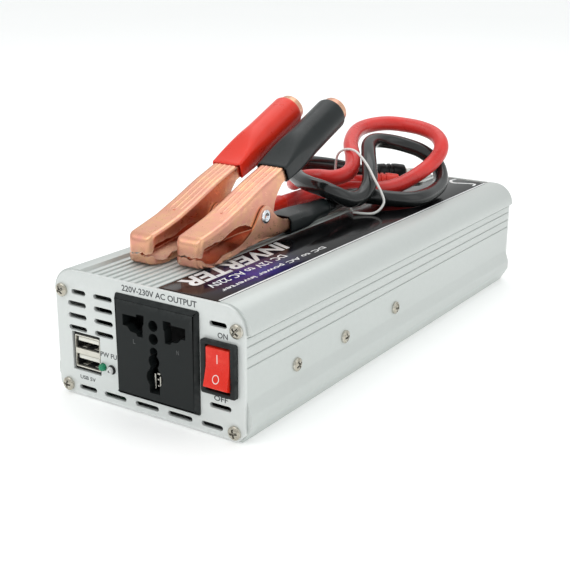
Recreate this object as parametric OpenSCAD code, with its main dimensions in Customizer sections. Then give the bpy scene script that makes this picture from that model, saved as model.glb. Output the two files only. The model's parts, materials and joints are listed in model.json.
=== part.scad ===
// Power inverter in an extruded aluminium case, with a universal mains outlet, two
// charging ports and a rocker switch at the front, a fan and two screw terminals at
// the rear, and a tied pair of battery leads lying on top.
// +Z is up, the front plate faces -Y, and the origin is the middle of the underside.

/* [Case] */
// Length over the two end plates
case_l = 244; // [236:1:252]
// Thickness of each end plate
plate_t = 1.5; // [1.2:0.1:2]
// Height of the two shoulders above the table
case_h = 52.6; // [52.4:0.1:52.8]
// Height of the flat top where the leads lie
deck_z = 52; // [51.9:0.1:52.1]
// Number of cooling ribs on the top
rib_count = 10; // [8:1:10]

/* [Front] */
// Width of the mains outlet's face, which is 1 mm taller than it is wide
outlet_w = 40; // [39:0.5:41]
// How far the outlet's face stands out of the front plate
outlet_out = 2; // [1.5:0.1:2.5]
// Tilt of the switch rocker each way from its middle
rocker_tilt = 7.5; // [6:0.5:8]

/* [Rear] */
// Outer size of the square fan
fan_size = 40; // [38:0.5:40]
// Number of fan blades
blade_count = 7; // [5:1:9]
// Distance between the two terminal studs
stud_gap = 21; // [20:0.5:22]

/* [Leads] */
// Diameter of each battery lead over its jacket
lead_d = 7.5; // [6.5:0.1:7.5]
// Width of a clamp over its upper jaw
jaw_w = 12.4; // [11.6:0.2:12.6]
// Distance between the middles of the two clamps
clamp_gap = 19.5; // [19:0.5:21]
// how much further forward the red clamp lies, mm
clamp_stagger = 6; // [0:0.5:8]

/* [Hidden] */
$fn = 48;
eps = 0.05;                  // running clearance on a radius

// the case, across
half_w = 47.5;               // widest half, at the lip and the foot flare
side_x = 45.6;               // outer face of the side wall
wall_x = 43.8;               // inner face of the side wall
lip_z = 42.2;                // where the rounded shoulder ends in a lip
shoulder_r = 10.4;
shoulder_x = half_w - shoulder_r;
ceiling_z = 49.2;
recess_x = 32.6;             // half width of the sunk middle of the top
groove_z = deck_z - 1;       // bottom of the grooves between the ribs
label_t = 0.35;
label_x0 = 4.3;
label_x1 = 31.4;
rib_w = 2.2;
rib_pitch = 3.6;
rib_gap = 0.7;               // between the label's bed and the first rib
side_lines = [37.6, 33.5, 29.6];
floor_t = 1.8;               // inward floor flanges of the extrusion
tray_x = 37.8;               // half width of the base plate
flange_x = 36.1;             // the floor flange reaches in to here
tray_t = 2.4;

// the case, along: every part is drawn from the front plate's outer face
front_out = 4;               // the rocker's tip stands out this far
rear_out = 20;               // the terminal knobs stand out this far
front_y = (front_out - rear_out - case_l) / 2;
shell_y0 = plate_t;
shell_y1 = case_l - plate_t;

// screws
m3_r = 1.45;
m3_hole_r = 1.6;
m3_head_r = 2.75;
m3_head_h = 1.8;
corner_screws = [[42.2, 43.5], [41, 4]];
side_screw_y = [34, 70.5, 114.5];
side_screw_z = 20.5;

// front panel
outlet_x = 5.6;
outlet_z = 27.2;
outlet_h = outlet_w + 1;
body_w = 36;                 // the outlet's moulding behind the plate
body_y = 16;
switch_x = 34.8;
switch_z = 27.9;
bezel_w = 15.6;
bezel_h = 20.8;
bezel_out = 2;
switch_w = 13.2;
switch_h = 19;
window_w = 10.9;
window_h = 17.5;
rocker_y = 0.9;              // the rocker's pivot, behind the plate's face
usb_x = -30.6;
usb_z = 19.1;
usb_w = 13.1;
usb_h = 14.8;
usb_cut = 0.5;
led_r = 1.5;
power_led_at = [-22.2, 15.3];
fault_led_at = [-17.8, 15.1];
slot_h = 2;

// vents: [left end, right end, height]
front_vents = concat(
    [[-37.3, -30, 43.7]],
    [for (i = [1:3]) [-39.4, -30, 43.7 - 5 * i]],
    [for (i = [0:3]) [-25.8, -16.4, 43.7 - 5 * i]],
    [[-35.5, -26.3, 4], [-22.2, -11, 4], [-6.3, 5.2, 4], [9.8, 21.4, 4], [25.7, 35.5, 4]],
    [[30, 37.7, 44.3], [29.7, 39.4, 12.5]]);

// inside
board_z = 8;
board_t = 1.6;
board_x = 42.5;
board_y0 = 20;
board_y1 = 226;
board_top = board_z + board_t;
post_x = 34;
post_y = [40, 216];
core_w = 36;
core_h = 30;
core_t = 12;
transformer_x = 18.5;
transformer_y = 126;
mosfet_dy = 8;
pad_t = 0.3;
tab_t = 1.3;
package_t = 4.4;

// rear
fan_x = 18.5;
fan_z = 27;
fan_t = 10;
duct_r = fan_size / 2 - 1.2;
fan_y1 = case_l - plate_t - 0.1;
fan_y0 = fan_y1 - fan_t;
fan_hole = 16;               // half the distance between the fan's screw holes
hub_r = 8;
blade_tip_r = duct_r - 0.5;
stud_x = [-24.5 - stud_gap / 2, -24.5 + stud_gap / 2];
stud_z = 27;
stud_r = 3;
flange_r = 8;
knob_r = 7.5;
knob_y0 = case_l + 7;
knob_y1 = case_l + rear_out;

// clamps, drawn with y from the front plate and z above the deck
rest_gap = 0.2;
lead_r = lead_d / 2;
black_at = [-0.5, 0, 0];
red_at = black_at - [clamp_gap, clamp_stagger, 0];
pivot = [70, 13.2];
rivet_r = 2;
sheet_t = 1;
ear_t = 0.8;
ear_in = jaw_w / 2 + 0.3;
ear_out = ear_in + ear_t;
handle_from = [84, 27.2];
handle_tilt = 22.2;
handle_l = 57;
handle_r = jaw_w / 2;
grip_r = 7.6;
grip_from = 2;
grip_l = 51;
cuff_y0 = 90.5;
cuff_y1 = 128;
cuff_z = 4.6;

// side outlines of the jaws: y, z
jaw_back = [[26.5, 8], [26.9, 11], [28.6, 12.6], [36.5, 14.4], [45, 16.6], [50, 18.4], [57, 20.9],
    [71, 26.4], [88, 32.2]];
jaw_edge = [[89, 26.4], [84, 24.6], [78.3, 17.4], [77, 11], [74, 7.6], [65, 7.6], [60.5, 11.2],
    [52.5, 12.6], [47, 11.5], [43.3, 10.2], [40.6, 9.4], [36.5, 9.6], [31.3, 8.8], [28.8, 8],
    [28.6, 4.7], [27, 4.7]];
base_under = [[110, 2.1], [92, 2.1], [81.5, 2.6], [69.5, 2.9], [58, 2.3], [47, 0.9], [38, 0], [31, 0],
    [28.4, 0.9], [27, 2.6]];
base_edge = [[27, 4.4], [28.6, 4.4], [30.8, 2.8], [36, 1.9], [38.8, 2.2], [40.5, 3.6], [44.7, 3.9],
    [51.3, 4.6], [56.8, 6.9], [61.4, 9.8], [65.4, 15], [67.4, 17.1], [70, 17.9], [72.6, 17.1],
    [74.8, 15], [79.6, 11.2], [85, 8.8], [92, 7.4], [110, 7.1]];

// the leads' routes: x, y from the front plate, z above the deck
black_route = [[-0.5, 128, 4.6], [-0.6, 133, 4.6], [-1.7, 144.5, 4.7], [0.7, 152.4, 5.3],
    [7.6, 157.8, 5.2], [18.3, 162.2, 4.5], [24.8, 168.2, 4], [27.1, 176.7, 4], [26.4, 189.3, 4.3],
    [24.5, 200.5, 5.6], [20.8, 208.4, 9.3], [15.9, 212, 14], [7.9, 211.7, 18.9], [-1.6, 208.2, 22],
    [-7.7, 202.1, 23.9], [-10.1, 193.7, 25], [-8.3, 184.6, 24.2], [-2.6, 174.3, 21.5],
    [3.9, 163.8, 17.5], [8.9, 154.8, 12.3], [9.8, 146.5, 8], [8.3, 138.4, 7.4], [4.9, 132, 10.4],
    [-1.2, 129.1, 13.1], [-9.3, 130.3, 14], [-18.5, 136.4, 14.1], [-28.3, 145, 15.1],
    [-34.9, 153.7, 15.6], [-37.6, 163.4, 15.1], [-36, 173, 13.9], [-31.1, 184.3, 11.5],
    [-25.1, 193.6, 8.7], [-17.2, 200.8, 6], [-14, 204, 6]];
red_route = [[-20, 122, 4.6], [-20, 127, 4.6], [-20.3, 139, 4.3], [-19.4, 150.6, 4.3],
    [-15.3, 159.8, 5.2], [-6, 167.5, 5.2], [3.1, 174.5, 5], [9, 181.8, 6], [13.8, 191.1, 9.3],
    [17.8, 200.9, 14.1], [19.9, 207.8, 19.4], [18.3, 212.6, 23.9], [12.6, 216.7, 27.3],
    [4, 218.1, 29.5], [-6, 216.8, 30.6], [-13.3, 212.8, 31.1], [-18.3, 205.4, 30.7],
    [-20.4, 196.7, 29.6], [-19, 187.6, 27.7], [-14.6, 177.3, 24.9], [-9.1, 169.8, 21.3],
    [-5.3, 162.9, 17], [-6, 157.4, 14.2], [-10.5, 153.4, 12.8], [-18.3, 151.9, 12.6],
    [-27, 153.2, 10.8], [-33.8, 156.6, 7.2], [-38.6, 162.6, 5.1], [-39.4, 169.3, 4.7],
    [-36.1, 175.9, 4.6], [-29.8, 179.5, 4.6], [-19.8, 180.4, 4.8], [-11.6, 182.4, 5.2], [-8, 185, 5.2]];
tie_route = [[8, 141, 0.7], [17, 145, 0.7], [20, 149, 5], [18, 150, 10], [14, 151, 15], [8, 155, 20],
    [1, 160, 23.5], [-6, 165, 25], [-13, 168, 24], [-18, 170, 20], [-20, 172, 10], [-17, 169, 2],
    [-14, 165, 0.7], [6, 144, 0.7]];
tie_d = 1.2;
black_lug_yaw = 45;
red_lug_yaw = 37;
boot_r = 4.9;
boot_l = 15;
lug_hole_r = 3.2;
lug_reach = 22;
lug_t = 1.6;

/* --- placing and drawing helpers --- */

// everything fixed to the case is drawn from the front plate's outer face
module in_case() {
    translate([0, front_y, 0]) children();
}

// the leads are drawn from the deck, just clear of it
module on_deck() {
    translate([0, front_y, deck_z + rest_gap]) children();
}

// an outline in x and z, drawn out along y
module along_y(y0, y1) {
    translate([0, y1, 0]) rotate([90, 0, 0]) linear_extrude(y1 - y0) children();
}

// an outline in y and z, drawn out along x
module along_x(x0, x1) {
    translate([x0, 0, 0]) rotate([90, 0, 90]) linear_extrude(x1 - x0) children();
}

module rod_y(x, z, r, y0, y1) {
    translate([x, y0, z]) rotate([-90, 0, 0]) cylinder(r = r, h = y1 - y0);
}

module rod_x(y, z, r, x0, x1) {
    translate([x0, y, z]) rotate([0, 90, 0]) cylinder(r = r, h = x1 - x0);
}

module box(x0, x1, y0, y1, z0, z1) {
    translate([x0, y0, z0]) cube([x1 - x0, y1 - y0, z1 - z0]);
}

module both_sides() {
    children();
    mirror([1, 0, 0]) children();
}

// an outline made of a right half and its mirror image
function mirrored(half) = concat(half, [for (i = [len(half) - 1:-1:0]) [-half[i][0], half[i][1]]]);

// a slot with round ends, as an outline in x and z
module slot_shape(v, h = slot_h) {
    translate([v[0] + h / 2, v[2] - h / 2]) square([v[1] - v[0] - h, h]);
    for (x = [v[0] + h / 2, v[1] - h / 2]) translate([x, v[2]]) circle(r = h / 2);
}

module round_rect(w, h, r) {
    square([w - 2 * r, h], center = true);
    square([w, h - 2 * r], center = true);
    for (x = [-1, 1], z = [-1, 1]) translate([x * (w / 2 - r), z * (h / 2 - r)]) circle(r = r);
}

// a pan head with a cross recess, standing on z = 0 and facing +z, with its shank below
module pan_screw(shank, r = m3_r) {
    dome_r = 4.3;
    recess = 1.1;
    difference() {
        intersection() {
            cylinder(r = m3_head_r, h = m3_head_h);
            translate([0, 0, m3_head_h - dome_r]) sphere(r = dome_r, $fn = 64);
        }
        for (a = [0, 90]) rotate([0, 0, a]) {
            translate([-1.6, -0.3, m3_head_h - recess]) cube([3.2, 0.6, recess + 1]);
        }
    }
    translate([0, 0, -shank]) cylinder(r = r, h = shank);
}

/* --- case --- */

// the rounded top of the case or of its cavity, from z0 up
module rounded_top(r, z0) {
    intersection() {
        union() {
            for (x = [-shoulder_x, shoulder_x]) translate([x, lip_z]) circle(r = r, $fn = 96);
            translate([-shoulder_x, z0 - 1]) square([2 * shoulder_x, lip_z + r - z0 + 1]);
        }
        translate([-60, z0]) square([120, 40]);
    }
}

module case_outline() {
    polygon(mirrored([[43.5, 0], [side_x, 3.8], [half_w, 7], [half_w, 12.5], [side_x, 15.4],
        [side_x, lip_z]]));
    rounded_top(shoulder_r, lip_z - 0.8);
}

module case_cavity() {
    translate([-wall_x, floor_t]) square([2 * wall_x, lip_z - floor_t]);
    rounded_top(ceiling_z - lip_z, lip_z - 1);
}

module screw_bosses() {
    both_sides() for (p = corner_screws) intersection() {
        translate(p) circle(r = 3.2);
        case_outline();
    }
}

module housing_section() {
    difference() {
        case_outline();
        case_cavity();
        translate([-flange_x, -1]) square([2 * flange_x, floor_t + 2]);
        translate([-tray_x - eps, floor_t / 2]) square([2 * (tray_x + eps), floor_t]);
        translate([-recess_x, groove_z]) square([2 * recess_x, 5]);
        both_sides() for (z = side_lines) translate([side_x - 0.5, z - 0.25]) square([1, 0.5]);
    }
    translate([label_x0, groove_z - 0.2]) square([recess_x - label_x0 + 0.2, 1.2 - label_t]);
    for (i = [0:rib_count - 1]) {
        translate([label_x0 - rib_gap - rib_w - i * rib_pitch, groove_z - 0.2]) square([rib_w, 1.2]);
    }
}

module housing() {
    color("silver") in_case() difference() {
        along_y(shell_y0, shell_y1) difference() {
            union() {
                housing_section();
                screw_bosses();
            }
            both_sides() for (p = corner_screws) translate(p) circle(r = m3_r + eps);
        }
        both_sides() for (y = side_screw_y) {
            rod_x(y, side_screw_z, m3_hole_r, wall_x - 1, side_x + 1);
        }
    }
}

module base_plate() {
    color("silver") in_case() difference() {
        union() {
            box(-flange_x + eps, flange_x - eps, shell_y0 + eps, shell_y1 - eps, 0, tray_t);
            box(-tray_x, tray_x, shell_y0 + eps, shell_y1 - eps, floor_t / 2 + eps, tray_t);
        }
        for (x = [-post_x, post_x], y = post_y) translate([x, y, -1]) cylinder(r = 1.5 + eps, h = 5);
    }
}

module plate_outline() {
    r = 9.5;
    top = case_h - 0.3;
    chamfer = 3.2;
    translate([-side_x + r, top - 2 * r]) square([2 * (side_x - r), 2 * r]);
    for (x = [r - side_x, side_x - r]) translate([x, top - r]) circle(r = r, $fn = 96);
    polygon(mirrored([[side_x - chamfer, 0.6], [side_x, 0.6 + chamfer], [side_x, top - r]]));
}

module front_plate() {
    color("gainsboro") in_case() along_y(0, plate_t) difference() {
        plate_outline();
        both_sides() for (p = corner_screws) translate(p) circle(r = m3_hole_r);
        for (v = front_vents) slot_shape(v);
        translate([outlet_x, outlet_z]) square(body_w + 0.2, center = true);
        translate([switch_x, switch_z]) square([switch_w + 0.2, switch_h + 0.2], center = true);
        translate([usb_x, usb_z]) square([usb_w + 2 * usb_cut, usb_h + 2 * usb_cut], center = true);
        for (p = [power_led_at, fault_led_at]) translate(p) circle(r = led_r + 0.1);
    }
}

module rear_plate() {
    color("gainsboro") in_case() along_y(shell_y1, case_l) difference() {
        plate_outline();
        both_sides() for (p = corner_screws) translate(p) circle(r = m3_hole_r);
        translate([fan_x, fan_z]) circle(r = duct_r, $fn = 72);
        for (x = [-1, 1], z = [-1, 1]) {
            translate([fan_x + x * fan_hole, fan_z + z * fan_hole]) circle(r = m3_hole_r);
        }
        for (x = stud_x) translate([x, stud_z]) circle(r = 5);
        for (x = [-36, -20], z = [7, 11]) slot_shape([x, x + 12, z]);
    }
}

module corner_screw_set(y, facing) {
    both_sides() for (p = corner_screws) {
        translate([p[0], y, p[1]]) rotate([facing * -90, 0, 0]) pan_screw(12);
    }
}

module front_screws() {
    color("silver") in_case() corner_screw_set(0, -1);
}

module rear_screws() {
    color("silver") in_case() corner_screw_set(case_l, 1);
}

module side_screws() {
    color("silver") in_case() both_sides() for (y = side_screw_y) {
        translate([side_x, y, side_screw_z]) rotate([0, 90, 0]) pan_screw(8.5);
    }
}

module top_label() {
    color("black") in_case() box(label_x0, label_x1, 3, case_l - 3, deck_z - label_t, deck_z);
}

/* --- outlet --- */

// the live side's aperture, from the middle of the face
module blade_aperture() {
    polygon([[-15, 8.8], [-15, 13.3], [-8.3, 13.3], [-8.3, 14.4], [-4.5, 14.4], [-4.7, 10.9],
        [-5.2, 10.4], [-5.3, 5.6], [-7.8, 5.6], [-8.6, 6.7], [-11.2, 6.9], [-12.6, 8.4], [-12.9, 8.8]]);
}

module earth_aperture() {
    translate([-0.2, -9.5]) circle(r = 3.9);
    translate([-2.7, -15.9]) square([5, 7]);
    translate([-1.2, -7]) square([2, 6]);
    translate([-0.2, -2.5]) circle(r = 2.6);
    translate([-0.2, 1]) circle(r = 1.9);
}

module outlet_face() {
    pocket_y = 2;
    w = outlet_w / 2;
    h = outlet_h / 2;
    bevel = 1.8;
    rim_y = bevel - outlet_out;
    color("black") in_case() translate([outlet_x, 0, outlet_z]) difference() {
        union() {
            intersection() {
                along_x(-w, w) polygon([[0, -h], [rim_y, -h], [-outlet_out, -h + bevel],
                    [-outlet_out, h - bevel], [rim_y, h], [0, h]]);
                translate([0, 0, -h]) linear_extrude(outlet_h) polygon([[-w, 0], [-w, rim_y],
                    [-w + bevel, -outlet_out], [w - bevel, -outlet_out], [w, rim_y], [w, 0]]);
            }
            box(-body_w / 2, body_w / 2, -0.2, body_y, -body_w / 2, body_w / 2);
        }
        both_sides() along_y(-outlet_out - 1, pocket_y + 1) blade_aperture();
        both_sides() box(-16.4, -4, pocket_y, body_y + 1, 4, 16);
        along_y(-outlet_out - 1, pocket_y + 1) earth_aperture();
        box(-4.2, 3.8, pocket_y, body_y + 1, -16.6, 3.4);
        for (z = [6.1, 11.3]) rod_y(-0.2, z, 2.2, -outlet_out - 1, 8);
    }
}

module outlet_contacts() {
    leaf = 0.7;
    color("goldenrod") in_case() translate([outlet_x, 0, outlet_z]) {
        both_sides() for (z = [4.4, 15]) box(-14, -6.5, 4.5, 22, z, z + leaf);
        for (x = [-3.4, 2.3]) box(x, x + leaf, 4.5, 22, -15, -4);
    }
}

module outlet_base() {
    color("black") in_case() translate([outlet_x, 0, outlet_z]) difference() {
        box(-17.8, 17.8, body_y + eps, body_y + 3, -17.8, 17.8);
        both_sides() for (z = [4.4, 15]) box(-14.1, -6.4, body_y - 1, body_y + 4, z - 0.1, z + 0.8);
        for (x = [-3.4, 2.3]) box(x - 0.1, x + 0.8, body_y - 1, body_y + 4, -15.1, -3.9);
    }
}

/* --- switch --- */

module switch_frame() {
    color("black") in_case() translate([switch_x, 0, switch_z]) difference() {
        union() {
            along_y(-bezel_out, 0) round_rect(bezel_w, bezel_h, 1);
            box(-switch_w / 2, switch_w / 2, 0, 14, -switch_h / 2, switch_h / 2);
        }
        box(-window_w / 2, window_w / 2, -3, 11, -window_h / 2, window_h / 2);
        rod_x(rocker_y, 0, 1.2 + eps, -window_w / 2 - 0.9, window_w / 2 + 0.9);
        for (z = [-5, 5]) box(-2.6, 2.6, 10, 15, z - 0.5, z + 0.5);
    }
}

// drawn in its middle position about its pivot, then pressed in at the top
module switch_rocker() {
    w = window_w / 2 - 0.2;
    tip_y = 3.97;
    tip_z = 7.4;
    color("red") in_case() translate([switch_x, rocker_y, switch_z]) rotate([-rocker_tilt, 0, 0]) {
        along_x(-w, w) intersection() {
            polygon([[-tip_y, tip_z], [-3, 0], [-tip_y, -tip_z], [-1, -9], [4, -6], [4, 6], [-1, 9]]);
            circle(r = 8.42);
        }
        rod_x(0, 0, 1.2, -w - 0.9, w + 0.9);
    }
}

module switch_terminals() {
    color("silver") in_case() translate([switch_x, 0, switch_z]) {
        for (z = [-5, 5]) box(-2.4, 2.4, 11.5, 22, z - 0.4, z + 0.4);
    }
}

/* --- charging ports and lamps --- */

module usb_shell() {
    sheet = 0.4;
    port_w = usb_w - 2 * sheet;
    port_h = 5.1;
    color("silver") in_case() translate([usb_x, 0, usb_z]) difference() {
        box(-usb_w / 2, usb_w / 2, 0.8, 17, -usb_h / 2, usb_h / 2);
        for (z = [-1, 1]) translate([0, 0, z * 3.7]) {
            box(-port_w / 2, port_w / 2, 0, 16, -port_h / 2, port_h / 2);
        }
    }
}

module usb_tongues() {
    color("black") in_case() translate([usb_x, 0, usb_z]) {
        for (z = [-1, 1]) translate([0, 0, z * 3.7]) {
            box(-5.4, 5.4, 2.4, 15.9, 0.3, 2.1);
            box(-6, 6, 13, 15.9, -2.4, 2.4);
        }
    }
}

module usb_board() {
    color("green") in_case() box(-40, -13, 3, 29, usb_z - usb_h / 2 - 1.7, usb_z - usb_h / 2 - 0.1);
}

module lamp(at) {
    in_case() translate([at[0], 0, at[1]]) {
        rod_y(0, 0, led_r, -0.6, 5);
        translate([0, -0.6, 0]) sphere(r = led_r);
        rod_y(0, 0, led_r + 0.2, 3, 4.2);
        for (x = [-0.6, 0.6]) {
            box(x - 0.25, x + 0.25, 5, 8, -0.25, 0.25);
            box(x - 0.25, x + 0.25, 7.5, 8, usb_z - usb_h / 2 - 0.1 - at[1], 0);
        }
    }
}

module power_led() {
    color("green") lamp(power_led_at);
}

module fault_led() {
    color("white") lamp(fault_led_at);
}

/* --- electronics --- */

module main_board() {
    color("darkgreen") in_case() difference() {
        box(-board_x, board_x, board_y0, board_y1, board_z, board_top);
        for (x = [-post_x, post_x], y = post_y) translate([x, y, 0]) cylinder(r = 1.7, h = 20);
    }
}

module board_posts() {
    color("goldenrod") in_case() for (x = [-post_x, post_x], y = post_y) translate([x, y, 0]) {
        translate([0, 0, tray_t]) cylinder(r = 3, h = board_z - tray_t, $fn = 6);
        translate([0, 0, 0.3]) cylinder(r = 1.5, h = board_top + 2);
    }
}

module transformer_cores() {
    color("dimgray") in_case() for (x = [-transformer_x, transformer_x]) {
        translate([x, transformer_y, board_top]) difference() {
            box(-core_w / 2, core_w / 2, -core_t / 2, core_t / 2, 0, core_h);
            both_sides() box(5, 13, -core_t, core_t, 5, core_h - 5);
        }
    }
}

module transformer_windings() {
    color("gold") in_case() for (x = [-transformer_x, transformer_x]) {
        translate([x, transformer_y, board_top]) difference() {
            box(-12.9, 12.9, -core_t, core_t, 5 + eps, core_h - 5 - eps);
            box(-5 - eps, 5 + eps, -core_t / 2 - eps, core_t / 2 + eps, 0, core_h);
        }
    }
}

module input_capacitors() {
    color("navy") in_case() for (x = [-24, -8, 8, 24]) {
        translate([x, 176, board_top]) cylinder(r = 6.5, h = 27);
    }
}

module bus_capacitor() {
    color("black") in_case() translate([-6, 80, board_top]) cylinder(r = 11, h = 35);
}

module filter_choke() {
    color("orange") in_case() translate([22, 78, board_top + 13]) rotate([90, 0, 0]) {
        rotate_extrude() translate([8.5, 0]) circle(r = 4.4);
    }
}

module mosfets() {
    color("black") in_case() both_sides() for (s = side_screw_y, d = [-mosfet_dy, mosfet_dy]) {
        y = s + d;
        tab_x = wall_x - pad_t;
        box(tab_x - package_t, tab_x, y - 4, y + 4, 18, 26);
        box(tab_x - tab_t, tab_x, y - 4, y + 4, 26, 31);
        for (p = [-2.5, 0, 2.5]) box(tab_x - 2.8, tab_x - 2.2, y + p - 0.4, y + p + 0.4, board_top, 18);
    }
}

module clamp_bars() {
    bar_x = wall_x - pad_t - package_t;
    color("silver") in_case() both_sides() for (y = side_screw_y) difference() {
        box(bar_x - 2, bar_x, y - 11.5, y + 11.5, 17, 24);
        rod_x(y, side_screw_z, m3_r + eps, bar_x - 3, bar_x + 1);
    }
}

module insulating_pads() {
    color("lightblue") in_case() both_sides() difference() {
        box(wall_x - pad_t, wall_x, 22, 128, 15, 32);
        for (y = side_screw_y) rod_x(y, side_screw_z, m3_hole_r, wall_x - 1, wall_x + 1);
    }
}

module control_board() {
    color("green") in_case() {
        box(-6, 34, 204, 205.6, board_top, 36);
        for (x = [0, 16]) box(x, x + 10, 202.5, 204, 16, 22);
    }
}

module fuses() {
    color("orange") in_case() for (x = [-34, -22]) {
        box(x - 2.6, x + 2.6, 192, 211, board_top + 5, board_top + 17);
        for (y = [194, 205]) box(x - 0.4, x + 0.4, y, y + 4, board_top, board_top + 5);
    }
}

module buzzer() {
    color("black") in_case() translate([-26, 52, board_top]) difference() {
        cylinder(r = 6, h = 9);
        translate([0, 0, 7]) cylinder(r = 1, h = 3);
    }
}

// a wire through a list of points, with round joints
module wire(points, r) {
    for (i = [0:len(points) - 2]) {
        d = points[i + 1] - points[i];
        translate(points[i]) rotate([0, acos(d[2] / norm(d)), atan2(d[1], d[0])]) {
            cylinder(r = r, h = norm(d), $fn = 24);
        }
    }
    for (i = [1:len(points) - 2]) translate(points[i]) sphere(r = 1.05 * r, $fn = 24);
}

module output_wires() {
    color("brown") in_case() {
        for (x = [outlet_x - 10.3, outlet_x + 10.3]) wire([[x, 22.6, 36], [x, 34, 36],
            [x, 46, board_top + 3], [x, 46, board_top]], 1.1);
        wire([[outlet_x - 3, 22.6, 14], [outlet_x - 3, 34, 20], [outlet_x - 3, 40, board_top + 3],
            [outlet_x - 3, 40, board_top]], 1.1);
        for (i = [0, 1]) wire([[switch_x, 22.6, switch_z - 5 + 10 * i], [switch_x - 3, 28, 23 + 10 * i],
            [switch_x - 5 - 5 * i, 52, board_top + 3], [switch_x - 5 - 5 * i, 52, board_top]], 0.8);
    }
}

module supply_wires() {
    color("darkred") in_case() for (x = stud_x) {
        wire([[x, 231, stud_z], [x, 226, stud_z], [x, 222, 16], [x, 222, board_top]], 2.2);
    }
}

/* --- fan --- */

module fan_frame() {
    color("black") in_case() translate([fan_x, 0, fan_z]) difference() {
        union() {
            along_y(fan_y0, fan_y1) difference() {
                round_rect(fan_size, fan_size, 3);
                circle(r = duct_r, $fn = 72);
            }
            rod_y(0, 0, hub_r, fan_y0, fan_y0 + 2);
            for (a = [20:90:359]) rotate([0, a, 0]) box(6, duct_r + 0.5, fan_y0, fan_y0 + 1.5, -1, 1);
        }
        for (x = [-1, 1], z = [-1, 1]) {
            rod_y(x * fan_hole, z * fan_hole, m3_r + eps, fan_y0 - 1, fan_y1 + 1);
        }
        rod_y(0, 0, 1 + eps, fan_y0 - 1, fan_y0 + 3);
    }
}

module fan_rotor() {
    pitch = 35;
    y0 = fan_y0 + 2.6;
    color("black") in_case() translate([fan_x, 0, fan_z]) {
        rod_y(0, 0, hub_r, y0, fan_y1 - 0.5);
        rod_y(0, 0, 1, fan_y0 + 0.4, y0 + 1);
        intersection() {
            rod_y(0, 0, blade_tip_r, y0, fan_y1 - 0.8);
            for (i = [0:blade_count - 1]) rotate([0, i * 360 / blade_count, 0]) {
                translate([hub_r - 1, (y0 + fan_y1) / 2, 0]) rotate([pitch, 0, 0]) {
                    translate([0, -6, -0.6]) cube([14, 12, 1.2]);
                }
            }
        }
    }
}

module fan_guard() {
    wire_r = 0.7;
    y = case_l + 0.75;
    color("silver") in_case() translate([fan_x, y, fan_z]) rotate([90, 0, 0]) {
        for (r = [5, 10, 15, 19.5]) rotate_extrude($fn = 72) translate([r, 0]) circle(r = wire_r, $fn = 16);
        for (a = [45:90:359]) rotate([0, 0, a]) {
            rotate([0, 90, 0]) cylinder(r = wire_r, h = 20.8, $fn = 16);
            translate([fan_hole * sqrt(2), 0, -0.6]) difference() {
                cylinder(r = 2.8, h = 1.2);
                translate([0, 0, -1]) cylinder(r = m3_r + eps, h = 4);
            }
        }
    }
}

module fan_screws() {
    color("silver") in_case() for (x = [-1, 1], z = [-1, 1]) {
        translate([fan_x + x * fan_hole, case_l + 1.4, fan_z + z * fan_hole]) {
            rotate([-90, 0, 0]) pan_screw(11);
        }
    }
}

/* --- terminals --- */

module terminal_studs() {
    color("goldenrod") in_case() for (x = stud_x) {
        rod_y(x, stud_z, stud_r, case_l - 13, case_l + rear_out - 2);
        rod_y(x, stud_z, 5.5, case_l + 3.1, case_l + 5);
        translate([x, case_l - 7, stud_z]) rotate([-90, 0, 0]) cylinder(r = 5.5, h = 3.4, $fn = 6);
    }
}

module terminal_insulators() {
    color("black") in_case() for (x = stud_x) difference() {
        union() {
            rod_y(x, stud_z, flange_r, case_l, case_l + 3);
            rod_y(x, stud_z, 4.9, case_l - plate_t, case_l + 1);
            rod_y(x, stud_z, flange_r, case_l - plate_t - 2, case_l - plate_t);
        }
        rod_y(x, stud_z, stud_r + eps, case_l - 10, case_l + 10);
    }
}

module knob(x) {
    flutes = 12;
    in_case() translate([x, 0, stud_z]) difference() {
        rod_y(0, 0, knob_r, knob_y0, knob_y1);
        rod_y(0, 0, stud_r + eps, knob_y0 - 1, knob_y1 - 1.5);
        for (i = [0:flutes - 1]) rotate([0, i * 360 / flutes, 0]) {
            rod_y(knob_r + 0.3, 0, 0.9, knob_y0 + 3, knob_y1 + 1);
        }
    }
}

module negative_knob() {
    color("black") knob(stud_x[0]);
}

module positive_knob() {
    color("red") knob(stud_x[1]);
}

/* --- battery clamps --- */

// seen from above, a band from y0 to y1 that narrows towards both ends
module jaw_plan(half, nose_half, tail_half, inset = 0) {
    linear_extrude(60) polygon(mirrored([[nose_half - inset, 20], [nose_half - inset, 27],
        [half - inset, 36], [half - inset, 79], [tail_half - inset, 91], [tail_half - inset, 115]]));
}

// a pressed channel with its back up, whose rear end is rolled into a tube
module upper_jaw(at) {
    half = jaw_w / 2;
    inner_back = [for (p = jaw_back) p - [-0.9, 1.15]];
    color("peru") on_deck() translate(at) difference() {
        union() {
            intersection() {
                along_x(-half, half) polygon(concat(jaw_back, jaw_edge));
                jaw_plan(half, 6, half);
            }
            handle_tube(handle_r, grip_from - 1.5, handle_l);
        }
        difference() {
            handle_tube(20, grip_from - eps, handle_l);
            handle_tube(handle_r, grip_from - 1, handle_l + 1);
        }
        intersection() {
            along_x(-half, half) polygon(concat([[27.6, 0]], inner_back, [[89, 0]]));
            jaw_plan(half, 6, half, sheet_t);
        }
        handle_tube(handle_r - sheet_t, grip_from, handle_l + 1);
        rod_x(pivot[0], pivot[1], rivet_r + eps, -20, 20);
    }
}

module handle_tube(r, from, to) {
    translate([0, handle_from[0], handle_from[1]]) rotate([handle_tilt - 90, 0, 0]) {
        translate([0, 0, from]) cylinder(r = r, h = to - from);
    }
}

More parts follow.
